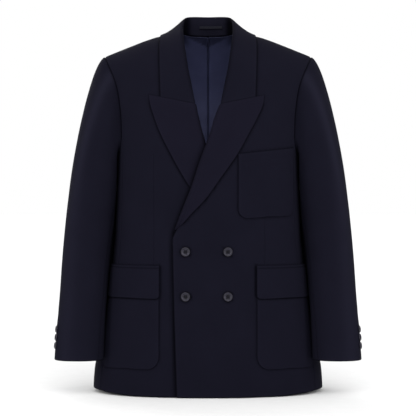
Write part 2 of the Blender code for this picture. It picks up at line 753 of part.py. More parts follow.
def make_lining():
    grid = []
    for share in np.linspace(0, 1, LINING_ROWS):
        side_way = LINING_SHOULDER_WAY + (LINING_BOTTOM_WAY - LINING_SHOULDER_WAY) * share
        reach = float(arm_back(side_way)[0]) * LINING_REACH
        half = list(np.linspace(0, PLEAT_HALF_WIDTH, 3)) + [reach * s for s in LINING_SHARES]
        row = []
        for x in [-v for v in half[:0:-1]] + half:
            top = lining_top(x)
            way = top + (LINING_BOTTOM_WAY - top) * share
            row.append(torso_point(x, ridge(x) - drop(way, BACK), BACK))
        grid.append(row)
    grid = np.array(grid)
    fold = np.clip(1 - np.abs(grid[..., 0]) / PLEAT_HALF_WIDTH, 0, 1)
    inwards = -(CLOTH + LINING_LAY) - PLEAT_DEPTH * fold
    cloth("lining_back", moved_out(grid, inwards, BODY_INSIDE), LINING, SATIN, BODY_INSIDE)


# ---- Sleeves -------------------------------------------------------------------------------

sleeve_ring = Curve(SLEEVE)
BICEPS = SLEEVE[-1].height
CUFF = SLEEVE[0].height
BICEPS_STEP = 0.02
LEAST_HEAD = 0.05


def armhole_loop():
    """Points round the armhole from the tip down the front, and up the back to the tip."""
    front = [torso_point(x, z, FRONT) for x, z in outer_outline(FRONT)[:OUTLINE_POINTS]]
    down, up = (np.radians(np.linspace(*ends, OUTLINE_POINTS // 2))
                for ends in ((FRONT_SEAM_ANGLE, 90.0), (90.0, BACK_SEAM_ANGLE)))
    low_front = [ring_point(angle, arm_low(angle)) for angle in down]
    low_back = [ring_point(angle, arm_low(angle)) for angle in up]
    back = [torso_point(x, z, BACK) for x, z in outer_outline(BACK)[:OUTLINE_POINTS]]
    return front + low_front[1:], low_back[:-1] + back[::-1]


def walked(points):
    """Points with the share of their line's length that lies before each."""
    steps = np.linalg.norm(np.diff(points, axis=0), axis=1)
    lengths = np.concatenate(([0.0], np.cumsum(steps)))
    return lengths / lengths[-1], np.array(points)


ARM_DOWN, ARM_UP = (walked(points) for points in armhole_loop())


def armhole_point(place):
    """The armhole's point at a place round it: 0 at the tip, 0.25 in front, 0.5 underneath."""
    place = place % 1.0
    shares, points = ARM_DOWN if place < 0.5 else ARM_UP
    share = (place % 0.5) * 2
    return np.array([np.interp(share, shares, points[:, axis]) for axis in range(3)])


def beside_body(point, clearance, softness):
    """The point moved sideways where it would lie in the body's side or too close to it."""
    x, y, z = point
    half_width, front, back = torso_ring(z)
    depth = front if y < 0 else back
    body = half_width * max(1 - abs(y / depth) ** ROUNDNESS, 0.0) ** (1 / ROUNDNESS)
    over = x - body - clearance
    return np.array((body + clearance + (over + math.hypot(over, softness)) / 2, y, z))


def sleeve_ring_point(place, z):
    """The sleeve's point at a place round it and a height below the armhole."""
    outer, half_width, middle, half_depth, clearance = sleeve_ring(z)
    turn = 2 * math.pi * place
    power = 2 / SLEEVE_ROUNDNESS
    x = outer - half_width + half_width * powered(math.cos(turn), power)
    y = middle - half_depth * powered(math.sin(turn), power)
    return beside_body(np.array((x, y, z)), clearance, BESIDE_SOFTNESS)


def sleeve_point(place, down):
    """A point of the sleeve: down runs from 0 at the armhole over 1 at the biceps to 2."""
    if down > 1:
        return sleeve_ring_point(place, BICEPS + (CUFF - BICEPS) * (down - 1))
    start = armhole_point(place)
    end = sleeve_ring_point(place, BICEPS)
    below = sleeve_ring_point(place, BICEPS - BICEPS_STEP)
    height = max(start[2] - BICEPS, LEAST_HEAD)
    top = (1 + math.cos(2 * math.pi * place)) / 2
    start_pull = np.array((HEAD_BOTTOM_PULL + (HEAD_TOP_PULL - HEAD_BOTTOM_PULL) * top,
                           -HEAD_FULLNESS * math.sin(2 * math.pi * place),
                           -HEAD_FULLNESS * top))
    point = hermite(start, start_pull, end, unit(below - end) * height, down)
    if point[2] < BESIDE_FROM and down > 0:
        point = beside_body(point, SLEEVE[-1].clearance * down, BESIDE_SOFTNESS * down)
    return point


def hind_seam(down):
    """The hind arm seam's place round the sleeve, which turns outwards towards the cuff."""
    return HIND_SEAM_TOP + (HIND_SEAM_CUFF - HIND_SEAM_TOP) * ease(down, 0.0, 2.0)


def spread(count):
    """Even shares from 0 to 1, with one more close to each end so that seams meet squarely."""
    return np.concatenate(([0.0], np.linspace(SEAM_STRIP, 1 - SEAM_STRIP, count), [1.0]))


def sleeve_grid(downs, starts, ends, columns):
    """One piece of a sleeve between the places of its two seams."""
    grid = []
    for down, start, end in zip(downs, starts, ends):
        places = start + (end - start) * spread(columns)
        grid.append([sleeve_point(place, down) for place in places])
    return trimmed(np.array(grid), SLEEVE_SEAM)


def make_sleeve(side_name, side):
    downs = HEAD_DOWNS + ARM_DOWNS
    front = np.full(len(downs), FRONT_ARM_SEAM)
    hind = np.array([hind_seam(down) for down in downs])
    inside = mirrored(SLEEVE_INSIDE, side)
    top = sleeve_grid(downs, hind - 1, front, TOP_SLEEVE_COLUMNS)
    cloth("top_sleeve_" + side_name, mirrored(top, side), CLOTH, NAVY, inside)
    under = sleeve_grid(downs, front, hind, UNDER_SLEEVE_COLUMNS)
    cloth("under_sleeve_" + side_name, mirrored(under, side), CLOTH, NAVY, inside)


# ---- Pockets, flaps and buttons ------------------------------------------------------------

def patch_rows(height, corner):
    """Distances of a patch's rows from its bottom, close together where the corners turn."""
    turns = np.radians((0, 30, 60, 90))
    rounded = [corner * (1 - math.cos(turn)) for turn in turns]
    return rounded + list(np.linspace(corner, height, 5)[1:])


def patch_grid(inner_x, width, tops, bottoms, corner):
    """A patch with round lower corners on the body, its rows from the bottom up; tops and
    bottoms are the heights at its inner and outer edge."""
    grid = []
    height = max(tops) - min(bottoms)
    for rise in patch_rows(height, corner):
        inset = corner - math.sqrt(max(corner**2 - max(corner - rise, 0.0) ** 2, 0.0))
        row = []
        for distance in np.linspace(inset, width - inset, PATCH_COLUMNS):
            top, bottom = (inner + (outer - inner) * distance / width
                           for inner, outer in (tops, bottoms))
            z = bottom + rise * (top - bottom) / height
            angle = round_the_body(z, inner_x, distance)
            row.append(ring_point(angle, z))
        grid.append(row)
    return np.array(grid)


def lay_patch(name, side, grid, layer):
    """A patch moved out to lie in a layer over its front, 1 on the cloth itself."""
    rises = np.array([[rise_of(side, x, z) for x, _, z in row] for row in grid])
    out = moved_out(grid, rises + layer * (LAY + CLOTH), BODY_INSIDE)
    cloth(name, mirrored(out, side), CLOTH, NAVY, BODY_INSIDE)


def make_pockets(side_name, side):
    pocket = patch_grid(POCKET_INNER_X, POCKET_WIDTH, (POCKET_TOP, POCKET_TOP),
                        (POCKET_BOTTOM, POCKET_BOTTOM), POCKET_CORNER)
    lay_patch("pocket_" + side_name, side, pocket, 1)
    flap = patch_grid(FLAP_INNER_X, FLAP_WIDTH, (FLAP_TOP, FLAP_TOP),
                      (FLAP_BOTTOM, FLAP_BOTTOM), FLAP_CORNER)
    lay_patch("flap_" + side_name, side, flap, 2)


def make_chest_pocket():
    grid = patch_grid(CHEST_INNER_X, CHEST_WIDTH, (CHEST_TOP_INNER, CHEST_TOP_OUTER),
                      (CHEST_BOTTOM_INNER, CHEST_BOTTOM_OUTER), CHEST_CORNER)
    lay_patch("chest_pocket", 1, grid, 1)


def make_button(name, radius, back, normal, steps):
    """A turned button with a raised rim and a dished middle; back is its back's middle."""
    points = [(radius * out, 0.0, radius * BUTTON_THICKNESS * up) for out, up in BUTTON_PROFILE]
    mesh = bpy.data.meshes.new(name)
    mesh.from_pydata(points, [(i, i + 1) for i in range(len(points) - 1)], [])
    mesh.materials.append(material(HORN))
    made = bpy.data.objects.new(name, mesh)
    bpy.data.collections[COLLECTION].objects.link(made)
    screw = made.modifiers.new("turned", "SCREW")
    screw.steps = steps
    screw.render_steps = steps
    screw.use_merge_vertices = True
    screw.merge_threshold = 0.00001
    screw.use_smooth_shade = True
    made.location = Vector(back)
    made.rotation_euler = Vector(normal).to_track_quat("Z", "Y").to_euler()


def make_front_buttons():
    number = 1
    for height in FRONT_BUTTON_ROWS:
        for x in FRONT_BUTTON_COLUMNS:
            seat = on_front(1, x, height, 0.0)
            normal = outward(torso_point(x, height, FRONT))
            make_button(f"front_button_{number}", FRONT_BUTTON_RADIUS, seat + normal * LAY, normal,
                        FRONT_BUTTON_STEPS)
            number += 1


def make_cuff_buttons(side_name, side):
    for number, height in enumerate(CUFF_BUTTON_HEIGHTS, 1):
        seat = sleeve_ring_point(CUFF_BUTTON_PLACE, height)
        along = sleeve_ring_point(CUFF_BUTTON_PLACE, height + NEAR) - seat
        around = sleeve_ring_point(CUFF_BUTTON_PLACE + NEAR, height) - seat
        normal = unit(np.cross(around, along))
        normal *= math.copysign(1.0, normal[0])
        name = f"cuff_button_{side_name}_{number}"
        make_button(name, CUFF_BUTTON_RADIUS, mirrored(seat, side), mirrored(normal, side),
                    CUFF_BUTTON_STEPS)


def main():
    clear_scene()
    made = bpy.data.collections.new(COLLECTION)
    bpy.context.scene.collection.children.link(made)
    for side_name, side in (("left", 1), ("right", -1)):
        make_front("front_" + side_name, side)
        make_side("side_" + side_name, side)
        make_back("back_" + side_name, side)
        make_lapel("lapel_" + side_name, side)
        make_sleeve(side_name, side)
        make_pockets(side_name, side)
        make_cuff_buttons(side_name, side)
    make_collar()
    make_hanging_loop()
    make_lining()
    make_chest_pocket()
    make_front_buttons()


main()
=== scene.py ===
"""Dresses the double breasted blazer: every cut piece as fine cloth with its seams, edges, folds
and stitches, the satin back lining, the buttons, and a plain pale studio. Metres, +Z up."""

import math
from collections import namedtuple

import bpy
import numpy as np
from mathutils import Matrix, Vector


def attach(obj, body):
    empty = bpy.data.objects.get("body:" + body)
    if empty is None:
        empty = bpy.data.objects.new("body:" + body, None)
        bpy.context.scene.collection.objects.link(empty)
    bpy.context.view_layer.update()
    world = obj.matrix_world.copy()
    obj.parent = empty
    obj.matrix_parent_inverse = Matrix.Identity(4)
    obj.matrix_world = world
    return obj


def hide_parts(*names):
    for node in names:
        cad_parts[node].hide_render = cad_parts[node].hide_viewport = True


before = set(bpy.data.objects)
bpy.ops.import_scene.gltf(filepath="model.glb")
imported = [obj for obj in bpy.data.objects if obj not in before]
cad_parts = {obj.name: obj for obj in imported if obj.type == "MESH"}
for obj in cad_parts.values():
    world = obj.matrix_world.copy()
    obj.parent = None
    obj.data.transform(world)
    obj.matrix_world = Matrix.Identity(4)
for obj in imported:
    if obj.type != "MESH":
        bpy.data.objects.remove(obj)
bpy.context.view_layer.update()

LEFT, RIGHT = 1, -1
SIDES = (("left", LEFT), ("right", RIGHT))
FRONT, BACK = -1, 1


def table(columns, *rows):
    """A table's rows as tuples with named columns."""
    kind = namedtuple("Row", columns)
    return tuple(kind(*row) for row in rows)


# ---- Sizes shared with the solids ----

CLOTH = 0.0016
LINING = 0.001
LAY = 0.0008
COLLAR_LAY = 0.0016
LINING_LAY = 0.0024

RIDGE_TOP = 0.0395
RIDGE_FALL = 0.41
RIDGE_SOFT = 0.05
RIDGE_HOLLOW = 0.004
RIDGE_HOLLOW_X = 0.085
RIDGE_HOLLOW_WIDTH = 0.022
RIDGE_Y = 0.01
REACH = {FRONT: 0.13, BACK: 0.16}

HEM = -0.7225
FRONT_HEM_DIP = 0.006
FRONT_HEM_DIP_X = (0.25, 0.14)
ROUNDNESS = 2.4
TORSO = table(
    "height half_width front back",
    (HEM, 0.239, 0.121, 0.127), (-0.685, 0.2365, 0.12, 0.128), (-0.63, 0.226, 0.119, 0.126),
    (-0.54, 0.21, 0.117, 0.117), (-0.43, 0.1965, 0.117, 0.104), (-0.33, 0.1915, 0.121, 0.108),
    (-0.23, 0.1915, 0.124, 0.119), (-0.15, 0.1965, 0.122, 0.124), (-0.1, 0.2095, 0.117, 0.124),
    (-0.05, 0.238, 0.11, 0.119), (0.06, 0.25, 0.098, 0.11))

FRONT_SEAM_ANGLE = 65.0
BACK_SEAM_ANGLE = 115.0
ARM_BOTTOM = -0.245
ARM = {FRONT: table("way x", (0.0, 0.217), (0.045, 0.214), (0.088, 0.2055), (0.167, 0.1855),
                    (0.218, 0.1795)),
       BACK: table("way x", (0.0, 0.217), (0.05, 0.215), (0.1, 0.2085), (0.18, 0.191),
                   (0.24, 0.1835))}
ARM_JOIN = {FRONT: 0.262, BACK: 0.285}
ARMHOLE_ROUNDNESS = 2.2

GORGE_ROLL = (0.0245, -0.141)
GORGE_SLOPE = 0.218
BREAK = -0.392
ROLL = {
    LEFT: table("height x", (BREAK, -0.0655), (-0.35, -0.0495), (-0.304, -0.0315),
                (-0.264, -0.0188), (-0.204, 0.0028), (-0.163, 0.0155), GORGE_ROLL[::-1]),
    RIGHT: table("height x", (BREAK, -0.045), (-0.35, -0.032), (-0.304, -0.0195),
                 (-0.264, -0.0085), (-0.218, 0.0056), (-0.175, 0.0172), GORGE_ROLL[::-1])}
EDGE = {LEFT: table("height x", (-0.402, -0.0695), (-0.44, -0.0706), (-0.573, -0.0675),
                    (HEM - FRONT_HEM_DIP, -0.0625)),
        RIGHT: table("height x", (-0.402, -0.045), (HEM - FRONT_HEM_DIP, -0.045))}
ROLL_SET_BACK = 0.0035
LAP_RISE = 0.0072
LAP_RISE_BELOW = 0.0042
LAP_RISE_Z = (-0.42, -0.36)
LAP_X = (0.11, 0.05)
LAP_Z = (-0.13, -0.214)
SHOULDER_END = (-0.08, -0.16)
NEARLY_ONE = 0.9999
SLOPE_STEP = 0.0002
ROUND_STEPS = 181

LAPEL = {
    LEFT: table(
        "roll_height edge_x edge_height lift", (GORGE_ROLL[1], 0.1135, -0.1225, 0.0045),
        (-0.158, 0.1115, -0.137, 0.0045), (-0.195, 0.0985, -0.168, 0.0045),
        (-0.232, 0.08, -0.2015, 0.004), (-0.265, 0.058, -0.241, 0.0035),
        (-0.3, 0.024, -0.2905, 0.003), (-0.333, -0.004, -0.33, 0.0025),
        (-0.365, -0.0345, -0.3625, 0.002), (BREAK, -0.059, -0.3915, 0.0012)),
    RIGHT: table(
        "roll_height edge_x edge_height lift", (GORGE_ROLL[1], 0.1195, -0.1205, 0.0045),
        (-0.16, 0.1175, -0.135, 0.004), (-0.19, 0.1085, -0.1655, 0.0022),
        (-0.215, 0.0975, -0.195, 0.0008), (-0.25, 0.076, -0.2385, 0.0),
        (-0.28, 0.057, -0.2735, 0.0), (-0.31, 0.035, -0.309, 0.0),
        (-0.345, 0.004, -0.346, 0.0), (BREAK, -0.0385, -0.3915, 0.0))}
FACING_LEG = 0.014
STAND_LEG = 0.006
LAPEL_ROWS = 15
LAPEL_END = 0.012
LAPEL_LAST_ROWS = (0.45, 0.2, 0.0)
LAPEL_END_BELOW = 0.002
LAPEL_END_WIDTH = 0.35
ROLL_TURNS = (-90, -45, 0, 45, 90)
FALL_SHARES = (0.2, 0.45, 0.72, 1.0)

COLLAR = table(
    "neck_x neck_way roll_x roll_y roll_z leaf_x leaf_way",
    (0.0, -0.0777, 0.0, 0.052, 0.0593, 0.0, -0.102),
    (0.036, -0.066, 0.03, 0.044, 0.0585, 0.052, -0.092),
    (0.058, -0.034, 0.045, 0.026, 0.054, 0.08, -0.056),
    (0.066, 0.0, 0.0505, 0.004, 0.045, 0.096, -0.004),
    (0.0655, 0.045, 0.052, -0.029, 0.029, 0.099, 0.045),
    (0.062, 0.095, 0.0505, -0.075, 0.0006, 0.0995, 0.095),
    (0.0555, 0.14, 0.0455, -0.1045, -0.0365, 0.0985, 0.135),
    (0.0445, 0.19, 0.0385, -0.1215, -0.08, 0.097, 0.175),
    (0.0305, 0.2438, 0.0245, -0.1265, -0.141, 0.0955, 0.2155))
MIRROR_COLLAR = (-1, -1, 1, -1, 1, 1, -1, 1)
COLLAR_COLUMNS = 37
NECK_SET_BACK = 0.002
NECK_SIDE_STATION = 3
NECK_STEPS = 20
ROLL_PULL_IN = 0.004
ROLL_PULL_OUT = 0.005
LEG_PULL = 0.35
STAND_SHARES = (0.0, 0.35, 0.7, 0.9)
COLLAR_FALL_SHARES = (0.0, 0.08, 0.2, 0.4, 0.6, 0.8, 1.0)

SLEEVE_ROUNDNESS = 2.3
SLEEVE = table(
    "height outer half_width middle half_depth clearance",
    (-0.658, 0.314, 0.0505, -0.064, 0.042, 0.0035),
    (-0.6, 0.3115, 0.0505, -0.05, 0.046, 0.0045),
    (-0.53, 0.307, 0.051, -0.033, 0.051, 0.007),
    (-0.45, 0.303, 0.052, -0.018, 0.056, 0.007),
    (-0.37, 0.2965, 0.0545, -0.009, 0.061, 0.0035),
    (-0.3, 0.2885, 0.057, -0.005, 0.066, 0.003))
HEAD_TOP_PULL = 0.08
HEAD_BOTTOM_PULL = 0.03
HEAD_FULLNESS = 0.02
DOWNS = (0.0, 0.05, 0.13, 0.25, 0.4, 0.55, 0.7, 0.85, *np.linspace(1, 2, 10))
BESIDE_FROM = -0.19
BESIDE_SOFTNESS = 0.004
BICEPS = SLEEVE[-1].height
CUFF = SLEEVE[0].height
BICEPS_STEP = 0.02
LEAST_HEAD = 0.05
FRONT_ARM_SEAM = 0.4
HIND_SEAM_TOP = 0.75
HIND_SEAM_CUFF = 1.01

POCKET, FLAP, CHEST = table(
    "inner_x width tops bottoms corner",
    (0.098, 0.14, (-0.47, -0.47), (-0.674, -0.674), 0.025),
    (0.0965, 0.143, (-0.4645, -0.4645), (-0.532, -0.532), 0.008),
    (0.059, 0.132, (-0.24, -0.225), (-0.3705, -0.364), 0.021))

LINING_BOTTOM_WAY = 0.36
LINING_NECK_GAP = 0.0016
LINING_SHOULDER_WAY = 0.04
LINING_REACH = 0.93
LOOP_MIDDLE = 0.0062
LOOP_HALF_WIDTH = 0.0232
LOOP_SHARES = (0.36, 0.5)
LOOP_BOW = 0.0012
LOOP_COLUMNS = 17

FRONT_BUTTON_RADIUS = 0.0095
FRONT_BUTTONS = [(x, height) for height in (-0.4368, -0.527) for x in (-0.0446, 0.0396)]
CUFF_BUTTON_RADIUS = 0.0072
CUFF_BUTTON_HEIGHTS = (-0.5966, -0.613, -0.6294)
CUFF_BUTTON_PLACE = 0.055
BUTTON_THICKNESS = 0.36
NEAR = 0.004

# ---- Small mathematics ----


def split(values):
    return np.moveaxis(np.asarray(values, float), -1, 0)


def at(x, y, z):
    return np.stack(np.broadcast_arrays(x, y, z), axis=-1).astype(float)


def unit(vectors):
    return vectors / np.linalg.norm(vectors, axis=-1, keepdims=True)


def powered(value, power):
    return np.sign(value) * np.abs(value) ** power


def rounded(across, power):
    """The height of a rounded box of half size 1 at a place across it."""
    return np.maximum(1 - np.abs(across) ** power, 0.0) ** (1 / power)


def ease(value, start, end):
    """0 before start, 1 past end, and a soft step between; start may be the larger."""
    t = np.clip((value - start) / (end - start), 0.0, 1.0)
    return t * t * (3 - 2 * t)


def bump(distance, width):
    return np.exp(-(distance / width) ** 2)


def hermite(start, start_pull, end, end_pull, t):
    return ((2 * t**3 - 3 * t**2 + 1) * start + (t**3 - 2 * t**2 + t) * start_pull
            + (3 * t**2 - 2 * t**3) * end + (t**3 - t**2) * end_pull)


def bezier(a, b, c, d, t):
    return (1 - t)**3 * a + 3 * t * (1 - t)**2 * b + 3 * t**2 * (1 - t) * c + t**3 * d


def lengths(points, axis=0):
    """The ways walked along an axis of a grid of points, from 0."""
    ways = np.linalg.norm(np.diff(points, axis=axis), axis=-1).cumsum(axis=axis)
    return np.concatenate((np.zeros_like(ways.take([0], axis)), ways), axis=axis)


class Curve:
    """A smooth curve through the rows of a table, against its first, rising column."""

    def __init__(self, rows):
        rows = np.array(sorted(tuple(row) for row in rows), float)
        self.places = rows[:, 0]
        self.values = rows[:, 1:]
        self.slopes = np.gradient(self.values, self.places, axis=0)

    def __call__(self, place):
        place = np.asarray(place, float)
        last = len(self.places) - 2
        i = np.clip(np.searchsorted(self.places, place) - 1, 0, last)
        span = self.places[i + 1] - self.places[i]
        t = np.clip((place - self.places[i]) / span, 0.0, 1.0)[..., None]
        span = span[..., None]
        return hermite(self.values[i], self.slopes[i] * span,
                       self.values[i + 1], self.slopes[i + 1] * span, t)


# ---- The body's surface ----

torso_ring = Curve(TORSO)


def ridge(x):
    """Height of the shoulder line."""
    hollow = RIDGE_HOLLOW * bump(np.abs(x) - RIDGE_HOLLOW_X, RIDGE_HOLLOW_WIDTH)
    return RIDGE_TOP - RIDGE_FALL * (np.hypot(x, RIDGE_SOFT) - RIDGE_SOFT) - hollow


def drop(way, facing):
    """How far the cloth has come down after a way over the shoulder line."""
    reach = REACH[facing]
    turn = reach * math.pi / 2
    near = reach * (1 - np.cos(np.minimum(way / reach, math.pi / 2)))
    return np.where(way < turn, near, reach + way - turn)


def ring_depth(x, z, facing):
    half_width, front, back = split(torso_ring(z))
    across = np.minimum(np.abs(x) / half_width, NEARLY_ONE)
    return facing * rounded(across, ROUNDNESS) * np.where(np.asarray(facing) == FRONT, front, back)


def torso_point(x, z, facing):
    """The point of the front or the back at x and height z."""
    lift = 1 - np.clip((ridge(x) - z) / REACH[facing], 0.0, 1.0)
    arch = np.sqrt(np.maximum(1 - lift * lift, 0.0))
    return at(x, RIDGE_Y + (ring_depth(x, z, facing) - RIDGE_Y) * arch, z)


def torso_level(points):
    """1 on the front or back surface and more outside it."""
    x, y, z = split(points)
    facing = np.where(y < RIDGE_Y, FRONT, BACK)
    reach = np.where(facing == FRONT, REACH[FRONT], REACH[BACK])
    lift = np.maximum(1 - (ridge(x) - z) / reach, 0.0)
    return np.hypot((y - RIDGE_Y) / (ring_depth(x, z, facing) - RIDGE_Y), lift)


def level_slope(points):
    steps = np.eye(3) * SLOPE_STEP
    return np.stack([(torso_level(points + step) - torso_level(points - step)) / (2 * SLOPE_STEP)
                     for step in steps], axis=-1)


def outward(points):
    """The surface's direction outwards at points of the front or back."""
    return unit(level_slope(points))


def clear_of_body(points, distance):
    """The points, moved out where they lie closer to the body than a distance."""
    slope = level_slope(points)
    steepness = np.linalg.norm(slope, axis=-1, keepdims=True)
    short = distance - (torso_level(points)[..., None] - 1) / steepness
    return points + slope / steepness * np.maximum(short, 0.0)


def body_normal(points):
    """The body's direction outwards at any point round it."""
    x, y, z = split(points)
    half_width, front, back = split(torso_ring(z))
    depth = np.where(y < 0, front, back)
    level = unit(at(powered(x / half_width, ROUNDNESS - 1) / half_width,
                    powered(y / depth, ROUNDNESS - 1) / depth, 0 * z))
    share = ease(z, *SHOULDER_END)[..., None]
    return unit(outward(points) * (1 - share) + level * share)


def way_point(x, way):
    facing = FRONT if way >= 0 else BACK
    return torso_point(x, ridge(x) - drop(abs(way), facing), facing)


def angle_at(x, z):
    half_width = torso_ring(z)[..., 0]
    return np.arcsin(powered(np.clip(x / half_width, -1.0, 1.0), ROUNDNESS / 2))


def ring_x(angle, z):
    return torso_ring(z)[..., 0] * powered(np.sin(angle), 2 / ROUNDNESS)


def ring_point(angle, z):
    """The point of the body's ring at an angle from the front's middle to the back's."""
    _, front, back = split(torso_ring(z))
    depth = np.where(np.cos(angle) > 0, front, back)
    return at(ring_x(angle, z), -depth * powered(np.cos(angle), 2 / ROUNDNESS), z)


def round_the_body(z, start_x, distance):
    """The angle reached by going a distance round the cloth at a height from start_x."""
    start = float(angle_at(start_x, z))
    angles = np.linspace(start, start + math.pi / 2, ROUND_STEPS)
    return np.interp(distance, lengths(ring_point(angles, np.full_like(angles, z))), angles)


def rise_of(side, x, z):
    """How far the upper front stands off the body where it laps over the lower one."""
    level = LAP_RISE_BELOW + (LAP_RISE - LAP_RISE_BELOW) * ease(z, *LAP_RISE_Z)
    lap = level * ease(x, *LAP_X) * ease(z, *LAP_Z)
    return lap if side == LEFT else lap * 0.0


# ---- Outlines of the panels ----

OUTLINE_POINTS = 80
ARM_JOIN_TURNS = 4
ROW_TURNS = 8
TOUCHING = 1e-9
DART_X = {LEFT: 0.1145, RIGHT: 0.1095}


def seam_x(z):
    return torso_ring(z)[..., 0] * math.sin(math.radians(FRONT_SEAM_ANGLE)) ** (2 / ROUNDNESS)


def arm_curve(facing):
    x = ARM[facing][-1].x
    for _ in range(ARM_JOIN_TURNS):
        x = float(seam_x(ridge(x) - drop(ARM_JOIN[facing], facing)))
    return Curve((*ARM[facing], (ARM_JOIN[facing], x)))


ARM_CURVES = {facing: arm_curve(facing) for facing in (FRONT, BACK)}
ROLL_CURVES = {side: Curve(rows) for side, rows in ROLL.items()}
LAPEL_CURVES = {side: Curve(rows) for side, rows in LAPEL.items()}
COLLAR_STATIONS = [(station, *row) for station, row in enumerate(COLLAR)]
collar_curve = Curve(COLLAR_STATIONS
                     + [tuple(np.array(row) * MIRROR_COLLAR) for row in COLLAR_STATIONS[1:]])
LAST_STATION = len(COLLAR) - 1
BACK_NECK_WAY = NECK_SET_BACK - COLLAR[0].neck_way


def neck_outline(facing):
    """The panels' neck edge in x and height, set back from the collar's seam."""
    seam_line = collar_curve(np.linspace(0, LAST_STATION, 2 * OUTLINE_POINTS))[:, :2]
    along = np.gradient(seam_line, axis=0)
    line = seam_line + unit(np.stack((along[:, 1], -along[:, 0]), axis=1)) * NECK_SET_BACK
    line[0] = (0.0, seam_line[0, 1] - NECK_SET_BACK)
    ways = -facing * line[:, 1]
    falls = np.copysign(drop(np.abs(ways), facing), ways)
    points = list(zip(line[:, 0], ridge(line[:, 0]) - falls))
    return points if facing == FRONT else points[::-1]


def front_inner_outline(side):
    heights = np.linspace(GORGE_ROLL[1] - ROLL_SET_BACK, BREAK, OUTLINE_POINTS)
    rolled = list(zip(ROLL_CURVES[side](heights)[:, 0] + ROLL_SET_BACK, heights))
    return neck_outline(FRONT) + rolled + [(row.x, row.height) for row in EDGE[side]]


def outer_outline(facing):
    ways = np.linspace(0, ARM_JOIN[facing], OUTLINE_POINTS)
    x = ARM_CURVES[facing](ways)[:, 0]
    points = list(zip(x, ridge(x) - drop(ways, facing)))
    heights = np.linspace(points[-1][1], HEM, OUTLINE_POINTS)[1:]
    return points + list(zip(seam_x(heights), heights))


def row_height(x, row, facing):
    way, share = row
    dip = FRONT_HEM_DIP * ease(np.abs(x), *FRONT_HEM_DIP_X)
    low = HEM - (dip if facing == FRONT else dip * 0.0)
    return low + (ridge(x) - drop(way, facing) - low) * share


def meet(outline, row, facing):
    """Where a row crosses an outline that runs from the top down."""
    points = np.array(outline)
    above = points[:, 1] - row_height(points[:, 0], row, facing)
    below = np.nonzero(above < TOUCHING)[0]
    if len(below) == 0:
        return points[-1]
    i = int(below[0])
    if i == 0:
        return points[0]
    t = above[i - 1] / (above[i - 1] - above[i])
    return points[i - 1] + (points[i] - points[i - 1]) * t


def refined(values, times=2):
    wanted = np.linspace(0, len(values) - 1, (len(values) - 1) * times + 1)
    return np.interp(wanted, np.arange(len(values)), values)


def panel_rows(ways, shares):
    """A panel's rows: by ways from the shoulder line, and below by shares of what is left."""
    ways = refined(ways)
    return [*((way, 1.0) for way in ways), *((ways[-1], share) for share in refined(shares)[1:])]


PANEL_ROWS = {
    FRONT: panel_rows(
        (0.0, 0.018, 0.04, 0.065, 0.092, 0.12, 0.15, 0.18, 0.21, 0.24, ARM_JOIN[FRONT]),
        (1.0, 0.95, 0.9, 0.85, 0.8, 0.74, 0.68, 0.62, 0.57, 0.48, 0.38, 0.26, 0.13, 0.0)),
    BACK: panel_rows(
        (0.0, 0.022, 0.045, 0.066, BACK_NECK_WAY, 0.105, 0.135, 0.17, 0.205, 0.245,
         ARM_JOIN[BACK]), (1.0, 0.89, 0.78, 0.67, 0.56, 0.45, 0.34, 0.22, 0.11, 0.0))}


def panel_grid(inner, facing, columns, dart=None):
    """A panel from an inner outline to the side; a dart's x is a column of its own."""
    outer = outer_outline(facing)
    grid = []
    for row in PANEL_ROWS[facing]:
        ends = [meet(outline, row, facing) for outline in (inner, outer)]
        start, end = (float(angle_at(x, z)) for x, z in ends)
        if dart is None:
            angles = np.linspace(start, end, columns[0])
        else:
            middle = float(angle_at(dart, row_height(dart, row, facing)))
            angles = np.concatenate((np.linspace(start, middle, columns[0]),
                                     np.linspace(middle, end, columns[1])[1:]))
        height = np.full_like(angles, ends[0][1])
        for _ in range(ROW_TURNS):
            x = ring_x(angles, height)
            height = row_height(x, row, facing)
        for j, spot in zip((0, -1), ends):
            x[j], height[j] = spot
        grid.append(torso_point(x, height, facing))
    return np.array(grid)


# ---- Fine grids ----

EDGE_STEPS = np.array((0.0, 0.0004, 0.0009, 0.0015, 0.0022, 0.003, 0.004))
EDGE_STEPS_FROM = 0.02
FINE = 0.0045
SEAM_OVERLAP = 0.0002


def stations(length, step):
    """Places along a length, close together at both of its ends."""
    near = EDGE_STEPS * min(1.0, length / EDGE_STEPS_FROM)
    inner = length - 2 * near[-1]
    middle = np.linspace(near[-1], length - near[-1], max(int(inner / step), 2) + 1)
    return np.concatenate((near[:-1], middle, length - near[-2::-1]))


def resampled(grid, breaks=(), step=FINE):
    """The grid's rows taken anew from smooth curves down its columns."""
    steps = np.linalg.norm(np.diff(grid[..., :3], axis=0), axis=2).mean(axis=1)
    places = np.concatenate(([0.0], np.cumsum(steps)))
    curve = Curve([(place, *row.ravel()) for place, row in zip(places, grid)])
    stops = [0.0, *(places[i] for i in breaks), places[-1]]
    wanted = [stations(b - a, step) + a for a, b in zip(stops, stops[1:])]
    wanted = np.concatenate([wanted[0], *(w[1:] for w in wanted[1:])])
    return curve(wanted).reshape(len(wanted), *grid.shape[1:])


def finer(grid, column_breaks=(), steps=(FINE, FINE)):
    rows = resampled(grid, (), steps[0]).swapaxes(0, 1)
    return resampled(rows, column_breaks, steps[1]).swapaxes(0, 1).copy()


def from_edges(grid):
    """Distances on the cloth from the first and last row and the first and last column."""
    down, across = lengths(grid), lengths(grid, 1)
    return down, down[-1:] - down, across, across[:, -1:] - across


def grid_normals(grid, inside):
    normals = unit(np.cross(np.gradient(grid, axis=0), np.gradient(grid, axis=1)))
    return normals if np.sum(normals * (grid - inside)) > 0 else -normals


def moved(grid, distances, inside):
    return grid + grid_normals(grid, inside) * np.asarray(distances)[..., None]


